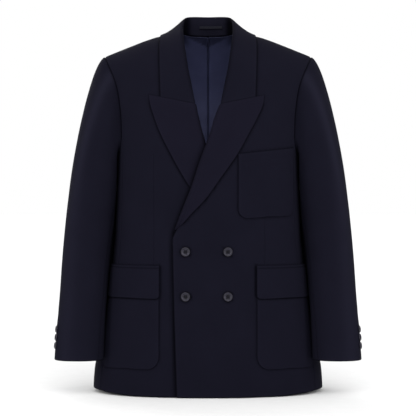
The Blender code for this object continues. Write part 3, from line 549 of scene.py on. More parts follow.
def mirrored(points, side):
    return points * np.array((side, 1.0, 1.0))


def overlapped(grid):
    """The grid, let out on all four edges so that neighbours meet."""
    for lines in (grid, grid.swapaxes(0, 1)):
        for line, inner in ((0, 1), (-1, -2)):
            lines[line] -= unit(lines[inner] - lines[line]) * SEAM_OVERLAP
    return grid


# ---- Kinds of edges ----

# How worn the cloth is beside an edge and how much shade is painted along it, and the lines of its
# relief: each has its strength or height, its distance from the edge and its width. At a flap's top
# the cloth also sinks, from the line of stitches on.
Kind = namedtuple("Kind", "lines marks sinks", defaults=((), 0.0))
SEAM_MARKS = ((0.25, 0.0032, 0.002), (0.4, 0.0, 0.0013))
EDGE_MARKS = ((0.5, 0.003, 0.0014), (0.75, 0.0, 0.0016))
TURN_AND_PICKS = ((-0.0008, 0.0, 0.001), (-0.00022, 0.0035, 0.0009))
FLAP_SEAM = 0.006
KINDS = {
    "plain": Kind(()),
    "seam": Kind(((-0.0008, 0.0, 0.0013), (0.00012, 0.006, 0.004)), SEAM_MARKS),
    "edge": Kind(TURN_AND_PICKS, EDGE_MARKS),
    "hem": Kind(((-0.0008, 0.0, 0.0008), (-0.0001, 0.035, 0.003)), EDGE_MARKS),
    "press": Kind((*TURN_AND_PICKS, (-0.0006, 0.0, 0.002)), EDGE_MARKS),
    "mouth": Kind((*TURN_AND_PICKS, (-0.00035, 0.018, 0.001)), EDGE_MARKS),
    "flap_top": Kind(((-0.0012, FLAP_SEAM, 0.0011), (-0.0008, 0.0, 0.001)), (), 0.002)}
ARM_PRESS = 0.001
ARM_PRESS_WIDTH = 0.0028
ARM_PRESS_Z = (-0.2, -0.15)


def line_of(distance, height, place, width):
    return height * bump(distance - place, width)


def relief_at(kind, distance):
    total = -kind.sinks * ease(distance, FLAP_SEAM, 0.0)
    for line in kind.lines:
        total = total + line_of(distance, *line)
    return total


def arm_press(distance, z):
    """The valley beside the armhole, where the sleeve's head is drawn in."""
    return -ARM_PRESS * bump(distance, ARM_PRESS_WIDTH) * ease(z, *ARM_PRESS_Z)


# ---- Folds of the cloth, in millimetres ----


def folds(*rows):
    """Soft ridges and troughs: where each starts and ends, how wide and how high it is."""
    return [[round(value / 1000, 7) for value in row] for row in rows]


# On the fronts, seen from the front: x and height.
FRONT_FOLDS = folds(
    (172, -190, 140, -330, 16, 1.0), (-168, -185, -141, -318, 15, 0.9),
    (150, -205, 118, -300, 12, -0.6), (-146, -200, -120, -290, 12, -0.6),
    (60, -446, 168, -398, 13, 0.7), (-66, -448, -166, -405, 12, 0.6),
    (52, -418, 150, -352, 14, -0.6), (-78, -410, -158, -352, 13, -0.5),
    (-60, -524, -90, -640, 16, 0.6), (58, -530, 78, -650, 18, 0.7), (0, -455, 4, -510, 20, -0.6),
    (82, -600, 78, -800, 14, 0.9), (-92, -610, -88, -800, 13, 0.8),
    (176, -640, 182, -800, 18, -0.9), (-170, -650, -174, -800, 16, -0.9),
    (130, -20, 168, -130, 20, -0.8), (-128, -20, -166, -128, 18, -0.8))

# On the back, seen from the back's own side: x and height.
BACK_FOLDS = folds(
    (120, -150, 90, -330, 22, 1.2), (-126, -145, -100, -320, 20, 1.1),
    (60, -350, 165, -415, 14, 0.9), (-50, -360, -160, -408, 13, 0.8),
    (40, -392, 150, -440, 15, -0.8), (-45, -398, -152, -448, 16, -0.8),
    (100, -470, 112, -800, 22, 1.2), (-96, -480, -110, -800, 24, 1.1),
    (46, -520, 52, -800, 18, -0.9), (-50, -540, -54, -800, 17, -0.9),
    (-110, -52, 110, -48, 13, -0.6))

# On the sides: the way round and height.
SIDE_FOLDS = folds(
    (30, -290, 85, -370, 13, 0.8), (80, -375, 20, -430, 14, -0.7), (55, -500, 60, -800, 20, 0.9))

# On the sleeves: the way round from the outermost line and height.
SLEEVE_FOLDS = folds(
    (50, -46, 44, -262, 7, 1.1), (46, -250, 56, -640, 13, 1.0), (72, -110, 78, -300, 10, -0.6),
    (30, -70, 52, -190, 14, 0.8), (-30, -70, -50, -200, 14, 0.7), (60, -300, 140, -352, 11, 1.2),
    (48, -345, 132, -392, 10, -1.1), (64, -398, 146, -424, 11, 1.1),
    (40, -440, 120, -474, 12, -0.8), (30, -500, 100, -548, 13, 0.8),
    (-20, -360, -100, -392, 16, 0.9), (-30, -420, -110, -438, 15, -0.8),
    (-10, -560, 60, -596, 12, -0.6), (170, -330, 240, -372, 12, 1.0),
    (160, -402, 232, -440, 12, -0.9), (150, -520, 220, -566, 14, 0.8))
SLEEVE_ROUND = 0.33
FADE_OUT = 0.75

# On the lining: x and height.
LINING_FOLDS = folds(
    (16, -30, 28, -260, 10, 1.2), (-18, -30, -26, -260, 10, 1.1), (60, -60, 48, -240, 14, -1.0),
    (-58, -70, -50, -250, 13, -1.0), (110, -80, 90, -230, 15, 1.1), (-106, -80, -88, -240, 15, 1.0))


def fold_relief(rows, a, b):
    """The height of folds that run from one point of the cloth to another and fade out."""
    total = np.zeros(np.broadcast(a, b).shape)
    for from_a, from_b, to_a, to_b, width, height in rows:
        run_a, run_b = to_a - from_a, to_b - from_b
        t = ((a - from_a) * run_a + (b - from_b) * run_b) / (run_a**2 + run_b**2)
        t = np.clip(t, 0.0, 1.0)
        off = np.hypot(a - from_a - t * run_a, b - from_b - t * run_b)
        total = total + height * bump(off, width) * (1 - (2 * t - 1) ** 2) ** FADE_OUT
    return total


def front_relief(x, z):
    return fold_relief(FRONT_FOLDS, x, z)


def lying_on_front(grid, side):
    """Points over a front, moved out with the front's own folds."""
    x, _, z = split(grid)
    return grid + outward(torso_point(x, z, FRONT)) * front_relief(side * x, z)[..., None]


# ---- Materials ----

WOOL_COLOUR = (0.0053, 0.0051, 0.0099)
# The lapels are the same wool, painted lighter for the light the raised lapels catch.
LAPEL_PAINTED_LIGHT_COLOUR = (0.006, 0.0055, 0.011)
# The colour painted for light: inside the collar stand, on the back under the collar and in a
# highlight down each sleeve.
PAINTED_LIGHT_COLOUR = (0.037, 0.036, 0.062)
LOOP_COLOUR = (0.0168, 0.0168, 0.0232)
SATIN_COLOUR = (0.06, 0.066, 0.143)
HORN_COLOUR = (0.015, 0.0136, 0.0225)
THREAD_COLOUR = (0.006, 0.0058, 0.01)
NAP_TINT = (0.62, 0.62, 0.8, 1.0)
WOOL_SPECULAR = 0.02
WOOL_SHEEN = 0.004
WOOL_TONES = ((0.25, 0.72), (0.5, 1.0), (0.8, 1.4))
SATIN_TONES = ((0.3, 0.85), (0.7, 1.2))
HORN_TONES = ((0.32, 0.55), (0.52, 1.0), (0.72, 1.9))
THREAD_TONES = ((0.35, 0.8), (0.65, 1.6))
WOOL_WORN = (0.3, 1.6)
# How far painted shade darkens the colour, and how much of the colour is left where the painted
# shade is darkest.
WOOL_PAINTED_SHADE = (0.88, 0.08)
SATIN_PAINTED_SHADE = (0.85, 0.1)
HORN_PAINTED_SHADE = (0.9, 0.1)
# The height of the bumps in metres and their strength.
WOOL_BUMPS = (0.00012, 0.55)
SATIN_BUMPS = (0.00008, 0.4)
HORN_BUMPS = (0.00002, 0.3)
THREAD_BUMPS = (0.00003, 0.4)
WAVE_PERIOD = 2 * math.pi / 20
TWILL_TURN = 27
TWILL_PITCH = 0.0011
TWILL_WAVER = 0.6
THREAD_PITCH = 0.0005
SATIN_PITCH = 0.0004
TWILL_SHARE = 0.65
FIBRE_SCALE = 1400.0
MOTTLE_SCALE = 14.0
CLOUD_SCALE = 22.0
STREAK_SCALE = 160.0
STREAK_STRETCH = (1.0, 1.0, 3.5)
SCRATCH_SCALE = 2600.0
TWIST_SCALE = 2400.0


class Signal:
    """A node's output; sums, differences and products of signals are nodes too."""

    def __init__(self, shading, node, output):
        self.shading, self.node, self.socket = shading, node, node.outputs[output]

    def __add__(self, other):
        return self.shading.math("ADD", self, other)

    def __mul__(self, other):
        return self.shading.math("MULTIPLY", self, other)

    def __rsub__(self, other):
        return self.shading.math("SUBTRACT", other, self)


class Shading:
    """A material's nodes, added and linked one after another."""

    def __init__(self, name):
        self.material = bpy.data.materials.new(name)
        self.material.use_nodes = True
        self.tree = self.material.node_tree
        self.shader = self.tree.nodes["Principled BSDF"]

    def node(self, kind, output, inputs=(), **settings):
        made = self.tree.nodes.new("ShaderNode" + kind)
        for key, value in settings.items():
            setattr(made, key, value)
        for key, value in dict(inputs).items():
            self.put(made.inputs[key], value)
        return Signal(self, made, output)

    def put(self, socket, value):
        if isinstance(value, Signal):
            self.tree.links.new(value.socket, socket)
        else:
            socket.default_value = value

    def set(self, **inputs):
        for key, value in inputs.items():
            self.put(self.shader.inputs[key.replace("_", " ")], value)

    def cloth_place(self, turn=0.0):
        """Places on the cloth in metres, turned by some degrees."""
        return self.node("Mapping", "Vector", {
            "Vector": self.node("UVMap", "UV", uv_map="cloth"),
            "Rotation": (0.0, 0.0, math.radians(turn))})

    def object_place(self):
        return self.node("TexCoord", "Object")

    def waves(self, place, pitch, distortion=0.0):
        return self.node("TexWave", "Fac", {
            "Vector": place, "Scale": WAVE_PERIOD / pitch, "Distortion": distortion,
            "Detail": 1.0, "Detail Scale": 1.0}, wave_type="BANDS", bands_direction="X")

    def noise(self, place, scale, detail=3.0):
        return self.node("TexNoise", "Fac", {"Vector": place, "Scale": scale, "Detail": detail})

    def math(self, operation, first, second):
        return self.node("Math", "Value", {0: first, 1: second}, operation=operation)

    def mark(self, name):
        """A mark that is kept at the cloth's points."""
        return self.node("Attribute", "Fac", attribute_name=name)

    def ramp(self, value, colour, *tones):
        """Tones of a colour; each has its place on the ramp and how many times as light it is."""
        made = self.node("ValToRGB", "Color", {"Fac": value})
        elements = made.node.color_ramp.elements
        while len(elements) < len(tones):
            elements.new(0.5)
        for element, (place, times) in zip(elements, tones):
            element.position = place
            element.color = (*shaded(colour, times), 1.0)
        return made

    def mix(self, share, base, colour):
        return self.node("Mix", 2, {"Factor": share, 6: base, 7: (*colour, 1.0)}, data_type="RGBA")

    def sink(self, base, colour, depth, left):
        """Paints shade into the base colour in seams, under edges and in shadows, and gives back
        how much.
        """
        painted_shade = self.mark("painted_shade") * depth
        self.set(Base_Color=self.mix(painted_shade, base, shaded(colour, left)))
        return painted_shade

    def bump(self, height, depth, strength):
        self.set(Normal=self.node("Bump", "Normal", {
            "Height": height, "Distance": depth, "Strength": strength}))


def shaded(colour, times):
    return tuple(min(channel * times, 1.0) for channel in colour)


def wool(name, colour):
    """Worsted twill: diagonal lines of fine threads, slightly mottled, with a soft nap."""
    made = Shading(name)
    flat = made.cloth_place()
    twill = made.waves(made.cloth_place(TWILL_TURN), TWILL_PITCH, TWILL_WAVER)
    threads = made.waves(flat, THREAD_PITCH) + made.waves(made.cloth_place(90), THREAD_PITCH)
    weave = twill * TWILL_SHARE + threads * 0.5 * (1 - TWILL_SHARE)
    fibre = made.noise(flat, FIBRE_SCALE)
    lit = weave * 0.45 + fibre * 0.35 + made.noise(flat, MOTTLE_SCALE) * 0.2
    base = made.ramp(lit, colour, *WOOL_TONES)
    worn = made.mark("worn")
    share, times = WOOL_WORN
    base = made.mix(worn * share, base, shaded(colour, times))
    # Painted light where light falls on the marked places, then painted shade in seams, under edges
    # and in shadows.
    painted_shade = made.sink(made.mix(made.mark("painted_light"), base, PAINTED_LIGHT_COLOUR), colour, *WOOL_PAINTED_SHADE)
    made.set(Roughness=0.88 - worn * 0.12 + painted_shade * 0.12, Specular_IOR_Level=WOOL_SPECULAR,
             Sheen_Weight=WOOL_SHEEN, Sheen_Roughness=0.5, Sheen_Tint=NAP_TINT)
    made.bump(weave + fibre * 0.5, *WOOL_BUMPS)
    return made.material


def satin(name, colour):
    """Lining satin: very fine threads along the cloth and a broad soft shine."""
    made = Shading(name)
    flat = made.cloth_place()
    threads = made.waves(flat, SATIN_PITCH)
    cloudy = made.noise(flat, CLOUD_SCALE)
    base = made.ramp(threads * 0.3 + cloudy * 0.7, colour, *SATIN_TONES)
    # Painted shade on the lining: the V below the neck, under the stand, the top corners and the
    # pleat.
    made.sink(base, colour, *SATIN_PAINTED_SHADE)
    made.set(Roughness=cloudy * 0.1 + 0.42, Specular_IOR_Level=0.16, Sheen_Weight=0.02,
             Sheen_Roughness=0.3, Anisotropic=0.4)
    made.bump(threads + cloudy * 2.0, *SATIN_BUMPS)
    return made.material


def horn(name, colour):
    """Polished dark horn with cloudy streaks and fine scratches."""
    made = Shading(name)
    place = made.object_place()
    drawn_out = made.node("Mapping", "Vector", {"Vector": place, "Scale": STREAK_STRETCH})
    streaks = made.noise(drawn_out, STREAK_SCALE, detail=4.0)
    # Painted shade in the button's dish and round its outer rim.
    painted_shade = made.sink(made.ramp(streaks, colour, *HORN_TONES), colour, *HORN_PAINTED_SHADE)
    scratches = made.noise(place, SCRATCH_SCALE, detail=2.0)
    made.set(Roughness=scratches * 0.16 + 0.26 + painted_shade * 0.6, Specular_IOR_Level=0.22)
    made.bump(scratches, *HORN_BUMPS)
    return made.material


def thread(name, colour):
    """Twisted sewing thread."""
    made = Shading(name)
    twist = made.noise(made.object_place(), TWIST_SCALE, detail=2.0)
    made.set(Base_Color=made.ramp(twist, colour, *THREAD_TONES),
             Roughness=twist * 0.2 + 0.5, Specular_IOR_Level=0.1)
    made.bump(twist, *THREAD_BUMPS)
    return made.material


WOOL = wool("navy_worsted", WOOL_COLOUR)
PAINTED_LIGHT_LAPEL_WOOL = wool("navy_worsted_lapel_painted_lighter", LAPEL_PAINTED_LIGHT_COLOUR)
LOOP_CLOTH = wool("loop_tape", LOOP_COLOUR)
SATIN = satin("blue_satin", SATIN_COLOUR)
HORN = horn("dark_horn", HORN_COLOUR)
THREAD = thread("navy_thread", THREAD_COLOUR)

# ---- Meshes ----

BODY_INSIDE = np.array((0.0, 0.0, -0.35))
SLEEVE_INSIDE = np.array((0.25, -0.02, -0.4))
RIM_BEVEL = 0.00035
RIM_STEPS = 2
RIM_ANGLE = 60
LEAST_SHEET = 0.01
NO_LENGTH = 1e-12


def put_in_scene(name, data):
    made = bpy.data.objects.new(name, data)
    bpy.context.scene.collection.objects.link(made)
    return made


def add_object(name, vertices, faces, material, marks=(), uvs=None):
    mesh = bpy.data.meshes.new(name)
    mesh.from_pydata([tuple(v) for v in vertices], [], [tuple(f) for f in faces])
    mesh.materials.append(material)
    if uvs is not None:
        loops = np.array(faces).ravel()
        mesh.uv_layers.new(name="cloth").data.foreach_set("uv", uvs[loops].ravel())
    for mark, values in dict(marks).items():
        mesh.attributes.new(mark, "FLOAT", "POINT").data.foreach_set("value", values.ravel())
    mesh.shade_smooth()
    made = put_in_scene(name, mesh)
    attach(made, "root")
    return made


def sewn(node, grid, marks, held, wall=CLOTH, material=WOOL, inside=BODY_INSIDE,
         slot="wool_navy", offset=-1.0, bias=0.0):
    """One piece of cloth as a thin shell over its grid of points, with soft rims and its marks;
    bias turns its weave by some degrees."""
    rows, columns = grid.shape[:2]
    sides = (grid[1:, :-1] - grid[:-1, :-1], grid[:-1, 1:] - grid[:-1, :-1])
    squares = np.cross(*sides)
    index = np.arange(rows * columns).reshape(rows, columns)
    faces = np.stack((index[:-1, :-1], index[1:, :-1], index[1:, 1:], index[:-1, 1:]), axis=-1)
    faces = faces.reshape(-1, 4)
    if np.dot(squares[0, 0], grid_normals(grid, inside)[0, 0]) < 0:
        faces = faces[:, ::-1]
    down, _, across, _ = from_edges(grid)
    u = across - across[:, columns // 2, None]
    v = np.repeat(down.mean(axis=1, keepdims=True), columns, axis=1)
    turn = math.radians(bias)
    uvs = np.stack((u * math.cos(turn) - v * math.sin(turn),
                    u * math.sin(turn) + v * math.cos(turn)), axis=-1).reshape(-1, 2)
    marks = {mark: np.clip(values, 0.0, 1.0) for mark, values in marks.items()}
    piece = add_object("fine_" + node, grid.reshape(-1, 3), faces.tolist(), material, marks, uvs)
    solidify = piece.modifiers.new("wall", "SOLIDIFY")
    solidify.thickness = wall
    solidify.offset = offset
    soft = piece.modifiers.new("rim", "BEVEL")
    soft.width = RIM_BEVEL
    soft.segments = RIM_STEPS
    soft.limit_method = "ANGLE"
    soft.angle_limit = math.radians(RIM_ANGLE)
    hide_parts(node)
    width, length = float(across[:, -1].max()), float(down[-1].max())
    min(width, length) >= LEAST_SHEET


def shade_at(grid, lines):
    """The shade painted along lines; each has its points, strength and width."""
    flat = grid.reshape(-1, 3)
    total = np.zeros(len(flat))
    for line, strength, width in lines:
        nearest = np.full(len(flat), 1.0)
        for start, end in zip(line[:-1], line[1:]):
            run = end - start
            t = np.clip((flat - start) @ run / max(run @ run, NO_LENGTH), 0.0, 1.0)
            away = flat - start - t[:, None] * run
            nearest = np.minimum(nearest, np.einsum("ij,ij->i", away, away))
        total = np.maximum(total, strength * bump(np.sqrt(nearest), width))
    return total.reshape(grid.shape[:-1])


class Piece:
    """A piece's grid on its way to cloth: the distances from its edges, their relief, and the
    marks of how worn the cloth is beside them and of the shade painted along them."""

    def __init__(self, grid, kinds, inside=BODY_INSIDE):
        self.grid = grid
        self.inside = inside
        self.from_edges = from_edges(grid)
        edges = [(KINDS[kind], away) for kind, away in zip(kinds.split(), self.from_edges)]
        reliefs = [relief_at(kind, away) for kind, away in edges]
        self.relief = (np.minimum.reduce(reliefs).clip(max=0)
                       + np.maximum.reduce(reliefs).clip(min=0))
        self.marks = {"worn": np.zeros(grid.shape[:2]), "painted_shade": np.zeros(grid.shape[:2])}
        for kind, away in edges:
            for mark, line in zip(self.marks, kind.marks):
                self.darken(line_of(away, *line), mark)

    # Adds painted shade by default; the worn mark is raised the same way.
    def darken(self, values, mark="painted_shade"):
        self.marks[mark] = np.maximum(self.marks[mark], values)

    def shade(self, *lines, share=1.0):
        self.darken(shade_at(self.grid, lines) * share)

    def move(self, distances):
        self.grid = moved(self.grid, distances, self.inside)

    def sew(self, node, side, held, **how):
        sewn(node, mirrored(self.grid, side), self.marks, held,
             inside=mirrored(self.inside, side), **how)


# ---- Fronts, backs and sides ----

BACK_COLUMNS = 15
SIDE_COLUMNS = 13
SIDE_ROWS = 23
DART_TOP = (-0.222, -0.252)
DART_FOOT = (-0.48, -0.47)
DART_WIDTH = 0.0011
DART_DEPTH = 0.0009
DART_SPLIT = (10, 7)
# Painted shade under edges, patches and buttons: strength and width, or a patch's strengths along
# its sides, bottom and top.
LAPEL_SHADE = (0.85, 0.0032)
LEAF_SHADE = (0.8, 0.003)
LAPEL_SHADE_TOP = 0.02
LAP_SHADE = (1.0, 0.0052)
SHADE_STEPS = 24
POCKET_SHADES = (0.32, 0.28, 0.0)
FLAP_SHADES = (0.7, 0.6, 0.2)
CHEST_SHADES = (0.42, 0.42, 0.4)
FLAP_ON_POCKET = (0.5, 0.75, 0.0)
POCKET_EDGE_SHADE = 0.65
CHEST_EDGE_SHADE = 0.8
BUTTON_SHADE = (0.8, 0.0014)
# Painted light on the back's inside under the collar, and how much it lifts the painted shade there
# and in the stand.
UNDER_COLLAR_WAY = (0.02, 0.012)
UNDER_COLLAR_X = (0.07, 0.058)
PAINTED_SHADE_LIFT = 0.8
PATCH_SHADE_WIDTHS = (0.0028, 0.0026, 0.0022)


def patch_shades(grid, sides, bottom, top):
    """The shade painted along a patch's sides, round bottom and top, from its grid of points."""
    low = len(grid) // 2
    lower = np.concatenate((grid[low::-1, 0], grid[0], grid[:low + 1, -1]))
    beside, below, above = PATCH_SHADE_WIDTHS
    return ((grid[low:, 0], sides, beside), (grid[low:, -1], sides, beside),
            (lower, bottom, below), (grid[-1], top, above))


def shades_on(side):
    """The shade painted under the lapel, the collar and the pockets on one front."""
    heights = np.linspace(GORGE_ROLL[1] - LAPEL_SHADE_TOP, BREAK + LAPEL_END, SHADE_STEPS)
    edge_x, edge_height, _ = split(LAPEL_CURVES[side](heights))
    leaf = collar_curve(np.linspace(NECK_SIDE_STATION, LAST_STATION, SHADE_STEPS))[:, 5:7]
    shades = [(torso_point(edge_x, edge_height, FRONT), *LAPEL_SHADE),
              (np.array([way_point(x, way) for x, way in leaf]), *LEAF_SHADE),
              *patch_shades(patch_grid(POCKET), *POCKET_SHADES),
              *patch_shades(patch_grid(FLAP), *FLAP_SHADES)]
    if side == LEFT:
        shades += patch_shades(patch_grid(CHEST), *CHEST_SHADES)
    return shades


def lap_shade():
    """The shade painted on the right front and lapel, along the left front that lies on them."""
    rolled = np.concatenate((np.array(ROLL[LEFT])[::-1], np.array(EDGE[LEFT])))
    return (torso_point(-rolled[:, 1], rolled[:, 0], FRONT), *LAP_SHADE)


def make_front(name, side):
    coarse = overlapped(panel_grid(front_inner_outline(side), FRONT, DART_SPLIT, DART_X[side]))
    piece = Piece(finer(coarse, (DART_SPLIT[0] - 1,)), "seam hem edge seam")
    x, _, z = split(piece.grid)
    dart = -DART_DEPTH * bump(x - DART_X[side], DART_WIDTH)
    dart = dart * ease(z, *DART_TOP) * ease(z, *DART_FOOT)
    out = rise_of(side, x, z) + front_relief(side * x, z) + dart + piece.relief
    out = out + arm_press(piece.from_edges[3], z)
    # Painted shadows under the lapel, collar and pockets, beside the left front's edge, and round
    # the buttons.
    piece.shade(*shades_on(side))
    if side == RIGHT:
        piece.shade(lap_shade())
    else:
        strength, width = BUTTON_SHADE
        for button_x, height in FRONT_BUTTONS:
            away = np.hypot(x - button_x, z - height) - FRONT_BUTTON_RADIUS
            piece.darken(strength * bump(away, width))
    piece.grid = piece.grid + outward(piece.grid) * out[..., None]
    piece.sew(name, side, "hung")


def make_back(name, side):
    neck = ridge(0.0) - drop(BACK_NECK_WAY, BACK)
    centre = [(0.0, z) for z in np.linspace(neck, HEM, OUTLINE_POINTS)[1:]]
    grid = finer(overlapped(panel_grid(neck_outline(BACK) + centre, BACK, (BACK_COLUMNS,))))
    grid[..., 0] = np.maximum(grid[..., 0], -SEAM_OVERLAP)
    piece = Piece(grid, "seam hem seam seam")
    x, _, z = split(grid)
    out = fold_relief(BACK_FOLDS, side * x, z) + piece.relief
    out = out + arm_press(piece.from_edges[3], z)
    # Painted light on the back's inside under the collar, with less painted shade there.
    painted_light = ease(piece.from_edges[0], *UNDER_COLLAR_WAY) * ease(x, *UNDER_COLLAR_X)
    piece.marks["painted_light"] = painted_light
    piece.marks["painted_shade"] *= 1 - PAINTED_SHADE_LIFT * painted_light
    piece.grid = grid + outward(grid) * out[..., None]
    piece.sew(name, side, "hung")


def arm_low(angle):
    """Height of the armhole's lower edge at an angle round the side."""
    front_join, back_join = (outer_outline(facing)[OUTLINE_POINTS - 1][1]
                             for facing in (FRONT, BACK))
    half = math.radians(BACK_SEAM_ANGLE - FRONT_SEAM_ANGLE) / 2
    u = (angle - math.pi / 2) / half
    join = np.where(u < 0, front_join, back_join)
    return join + (ARM_BOTTOM - join) * rounded(np.minimum(np.abs(u), 1), ARMHOLE_ROUNDNESS)


def make_side(name, side):
    angles = np.radians(np.linspace(FRONT_SEAM_ANGLE, BACK_SEAM_ANGLE, SIDE_COLUMNS))
    heights = HEM + (arm_low(angles) - HEM) * np.linspace(1, 0, SIDE_ROWS)[:, None]
    grid = overlapped(ring_point(np.broadcast_to(angles, heights.shape), heights))
    piece = Piece(finer(grid), "seam hem seam seam")
    piece.move(fold_relief(SIDE_FOLDS, piece.from_edges[2], piece.grid[..., 2]) + piece.relief)
    piece.sew(name, side, "hung")


# ---- Lapels, collar, loop and lining ----

ROLL_COLUMN = 4
# Painted shade along the rolls of the lapels and collar, in the stand's corners and under the
# hanging loop; painted light inside the stand.
ROLL_SHADE_WIDTH = 0.0042
ROLL_SHADE = {LEFT: 0.35, RIGHT: 0.65}
COLLAR_ROLL_SHADE = 0.5
COLLAR_FRONT_Y = (0.01, -0.02)
LAPEL_STEPS = (0.004, 0.003)
COLLAR_STEPS = (0.0035, 0.003)
LOOP_STEPS = (0.002, 0.001)
STAND_WAY = (0.04, 0.03)
STAND_Y = (-0.015, 0.015)
STAND_PAINTED_LIGHT = 0.14
STAND_PAINTED_LIGHT_X = (0.044, 0.03)
STAND_CORNER_SHADE = 0.8
STAND_CORNER_SHADE_X = (0.036, 0.046)
LOOP_SHADE = (0.9, 0.0016)
LOOP_SHADE_PLACE = np.array((0.0, 0.0, -0.001))
LAPEL_BIAS = 18.0
LINING_ROWS = 36
LINING_FLAT_COLUMNS = (0.012, 34)
LINING_COLUMNS = (0.0, 0.0006, 0.0012, 0.002, 0.003, 0.0045, 0.006, 0.008)
PLEAT_DEPTH = 0.003
PLEAT_WIDTH = 0.0013
PLEAT_RIDGE = (-0.001, 0.0026, 0.0012)
# Painted shade on the lining: a V below the neck, a band under the stand, the top corners and a
# line down the pleat.
V_SHADE_POINT = (-0.0025, -0.0005)
V_SHADE_SLOPE = 0.42
V_SHADE = 0.65
PLEAT_SHADE = (0.7, 0.0011)
TOP_SHADE = 0.75
TOP_SHADE_WAY = (0.006, 0.0)
CORNER_SHADE = 0.9
CORNER_X = (0.034, 0.054)
CORNER_WAY = (0.04, 0.018)


def on_front(side, x, z, out):
    """A point over a front, a distance out from it."""
    point = torso_point(x, z, FRONT)
    return point + outward(point) * np.asarray(rise_of(side, x, z) + out)[..., None]


def on_gorge(points):
    """The points brought up or down to the gorge line, where collar and lapel meet."""
    x, y, _ = split(points)
    return at(x, y, GORGE_ROLL[1] + GORGE_SLOPE * (np.abs(x) - GORGE_ROLL[0]))


def roll_section(inner_leg, length, lift, full):
    """Distances from the roll and out of the front, from inside it round to the edge; full
    falls to 0 where the roll runs out into the front's edge."""
    low = (-CLOTH - LAY) * full - CLOTH / 2
    lay = LAY * full + CLOTH / 2
    radius = (lay + lift - low) / 2
    section = [(inner_leg, low), ((inner_leg + radius) / 2, low)]
    for turn in np.radians(ROLL_TURNS):
        section.append((radius - radius * math.cos(turn), low + radius + radius * math.sin(turn)))
    for share in FALL_SHARES:
        section.append((radius + (length - radius) * share, lay + lift * (1 - share) ** 2))
    return np.array(section)


def section_points(side, start, end, inner_leg, lift, full=1.0):
    """The folded cloth over a front from a point of its roll line to one of its edge."""
    way = end - start
    length = np.linalg.norm(way)
    section = roll_section(inner_leg, length, lift, full)
    x, z = split(start + way / length * section[:, :1])
    return on_front(side, x, z, section[:, 1])


def make_lapel(name, side):
    grid = []
    heights = np.linspace(GORGE_ROLL[1], BREAK, 2 * LAPEL_ROWS - 1)
    for height in [*heights[:-1], *(BREAK + LAPEL_END * np.array(LAPEL_LAST_ROWS))]:
        start = np.array((float(ROLL_CURVES[side](height)[0]), height))
        edge_x, edge_height, lift = LAPEL_CURVES[side](height)
        full = ease(height, BREAK - LAPEL_END_BELOW, BREAK + LAPEL_END)
        width = LAPEL_END_WIDTH + (1 - LAPEL_END_WIDTH) * full
        end = start + (np.array((edge_x, edge_height)) - start) * width
        grid.append(section_points(side, start, end, FACING_LEG, lift * full, full))
    grid[0] = on_gorge(grid[0])
    coarse = overlapped(np.array(grid))
    piece = Piece(finer(coarse, steps=LAPEL_STEPS), "seam plain plain edge")
    # Painted shade along the lapel's roll.
    piece.shade((coarse[:, ROLL_COLUMN], ROLL_SHADE[side], ROLL_SHADE_WIDTH))
    piece.move(piece.relief)
    # Painted shadow on the right lapel where the left front lies on it.
    if side == RIGHT:
        piece.shade(lap_shade())
    piece.grid = lying_on_front(piece.grid, side)
    piece.sew(name, side, "folded", material=PAINTED_LIGHT_LAPEL_WOOL, offset=0.0, bias=LAPEL_BIAS * side)


def collar_lines(station):
    """The collar's points at the neck seam, the roll and the edge at a station."""
    neck_x, neck_way, *roll, leaf_x, leaf_way = collar_curve(station)
    return way_point(neck_x, neck_way), np.array(roll), way_point(leaf_x, leaf_way)


def collar_section(station):
    """The collar's section: up the stand, round the roll and down the fall."""
    neck, roll, leaf = collar_lines(station)
    skin = outward(leaf)
    leaf = leaf + skin * (COLLAR_LAY + CLOTH / 2)
    tip = unit(unit(roll - neck) - unit(leaf - roll))
    over = unit(skin - tip * np.dot(skin, tip))
    stand_pull = LEG_PULL * np.linalg.norm(roll - neck)
    fall = leaf - roll
    flat = unit(fall - skin * np.dot(fall, skin))
    fall_pull = LEG_PULL * np.linalg.norm(fall)
    up = [bezier(neck, neck + unit(roll - neck) * stand_pull, roll - over * ROLL_PULL_IN, roll, t)
          for t in STAND_SHARES]
    down = [bezier(roll, roll + over * ROLL_PULL_OUT, leaf - flat * fall_pull, leaf, t)
            for t in COLLAR_FALL_SHARES]
    return np.concatenate((up, clear_of_body(np.array(down), COLLAR_LAY + CLOTH / 2)))


def collar_end():
    """The collar's section at the gorge, where its fold is the lapel's."""
    notch = COLLAR[-1].leaf_x
    end = np.array((notch, GORGE_ROLL[1] + GORGE_SLOPE * (notch - GORGE_ROLL[0])))
    lift = LAPEL[LEFT][0].lift
    return on_gorge(section_points(RIGHT, np.array(GORGE_ROLL), end, STAND_LEG, lift))


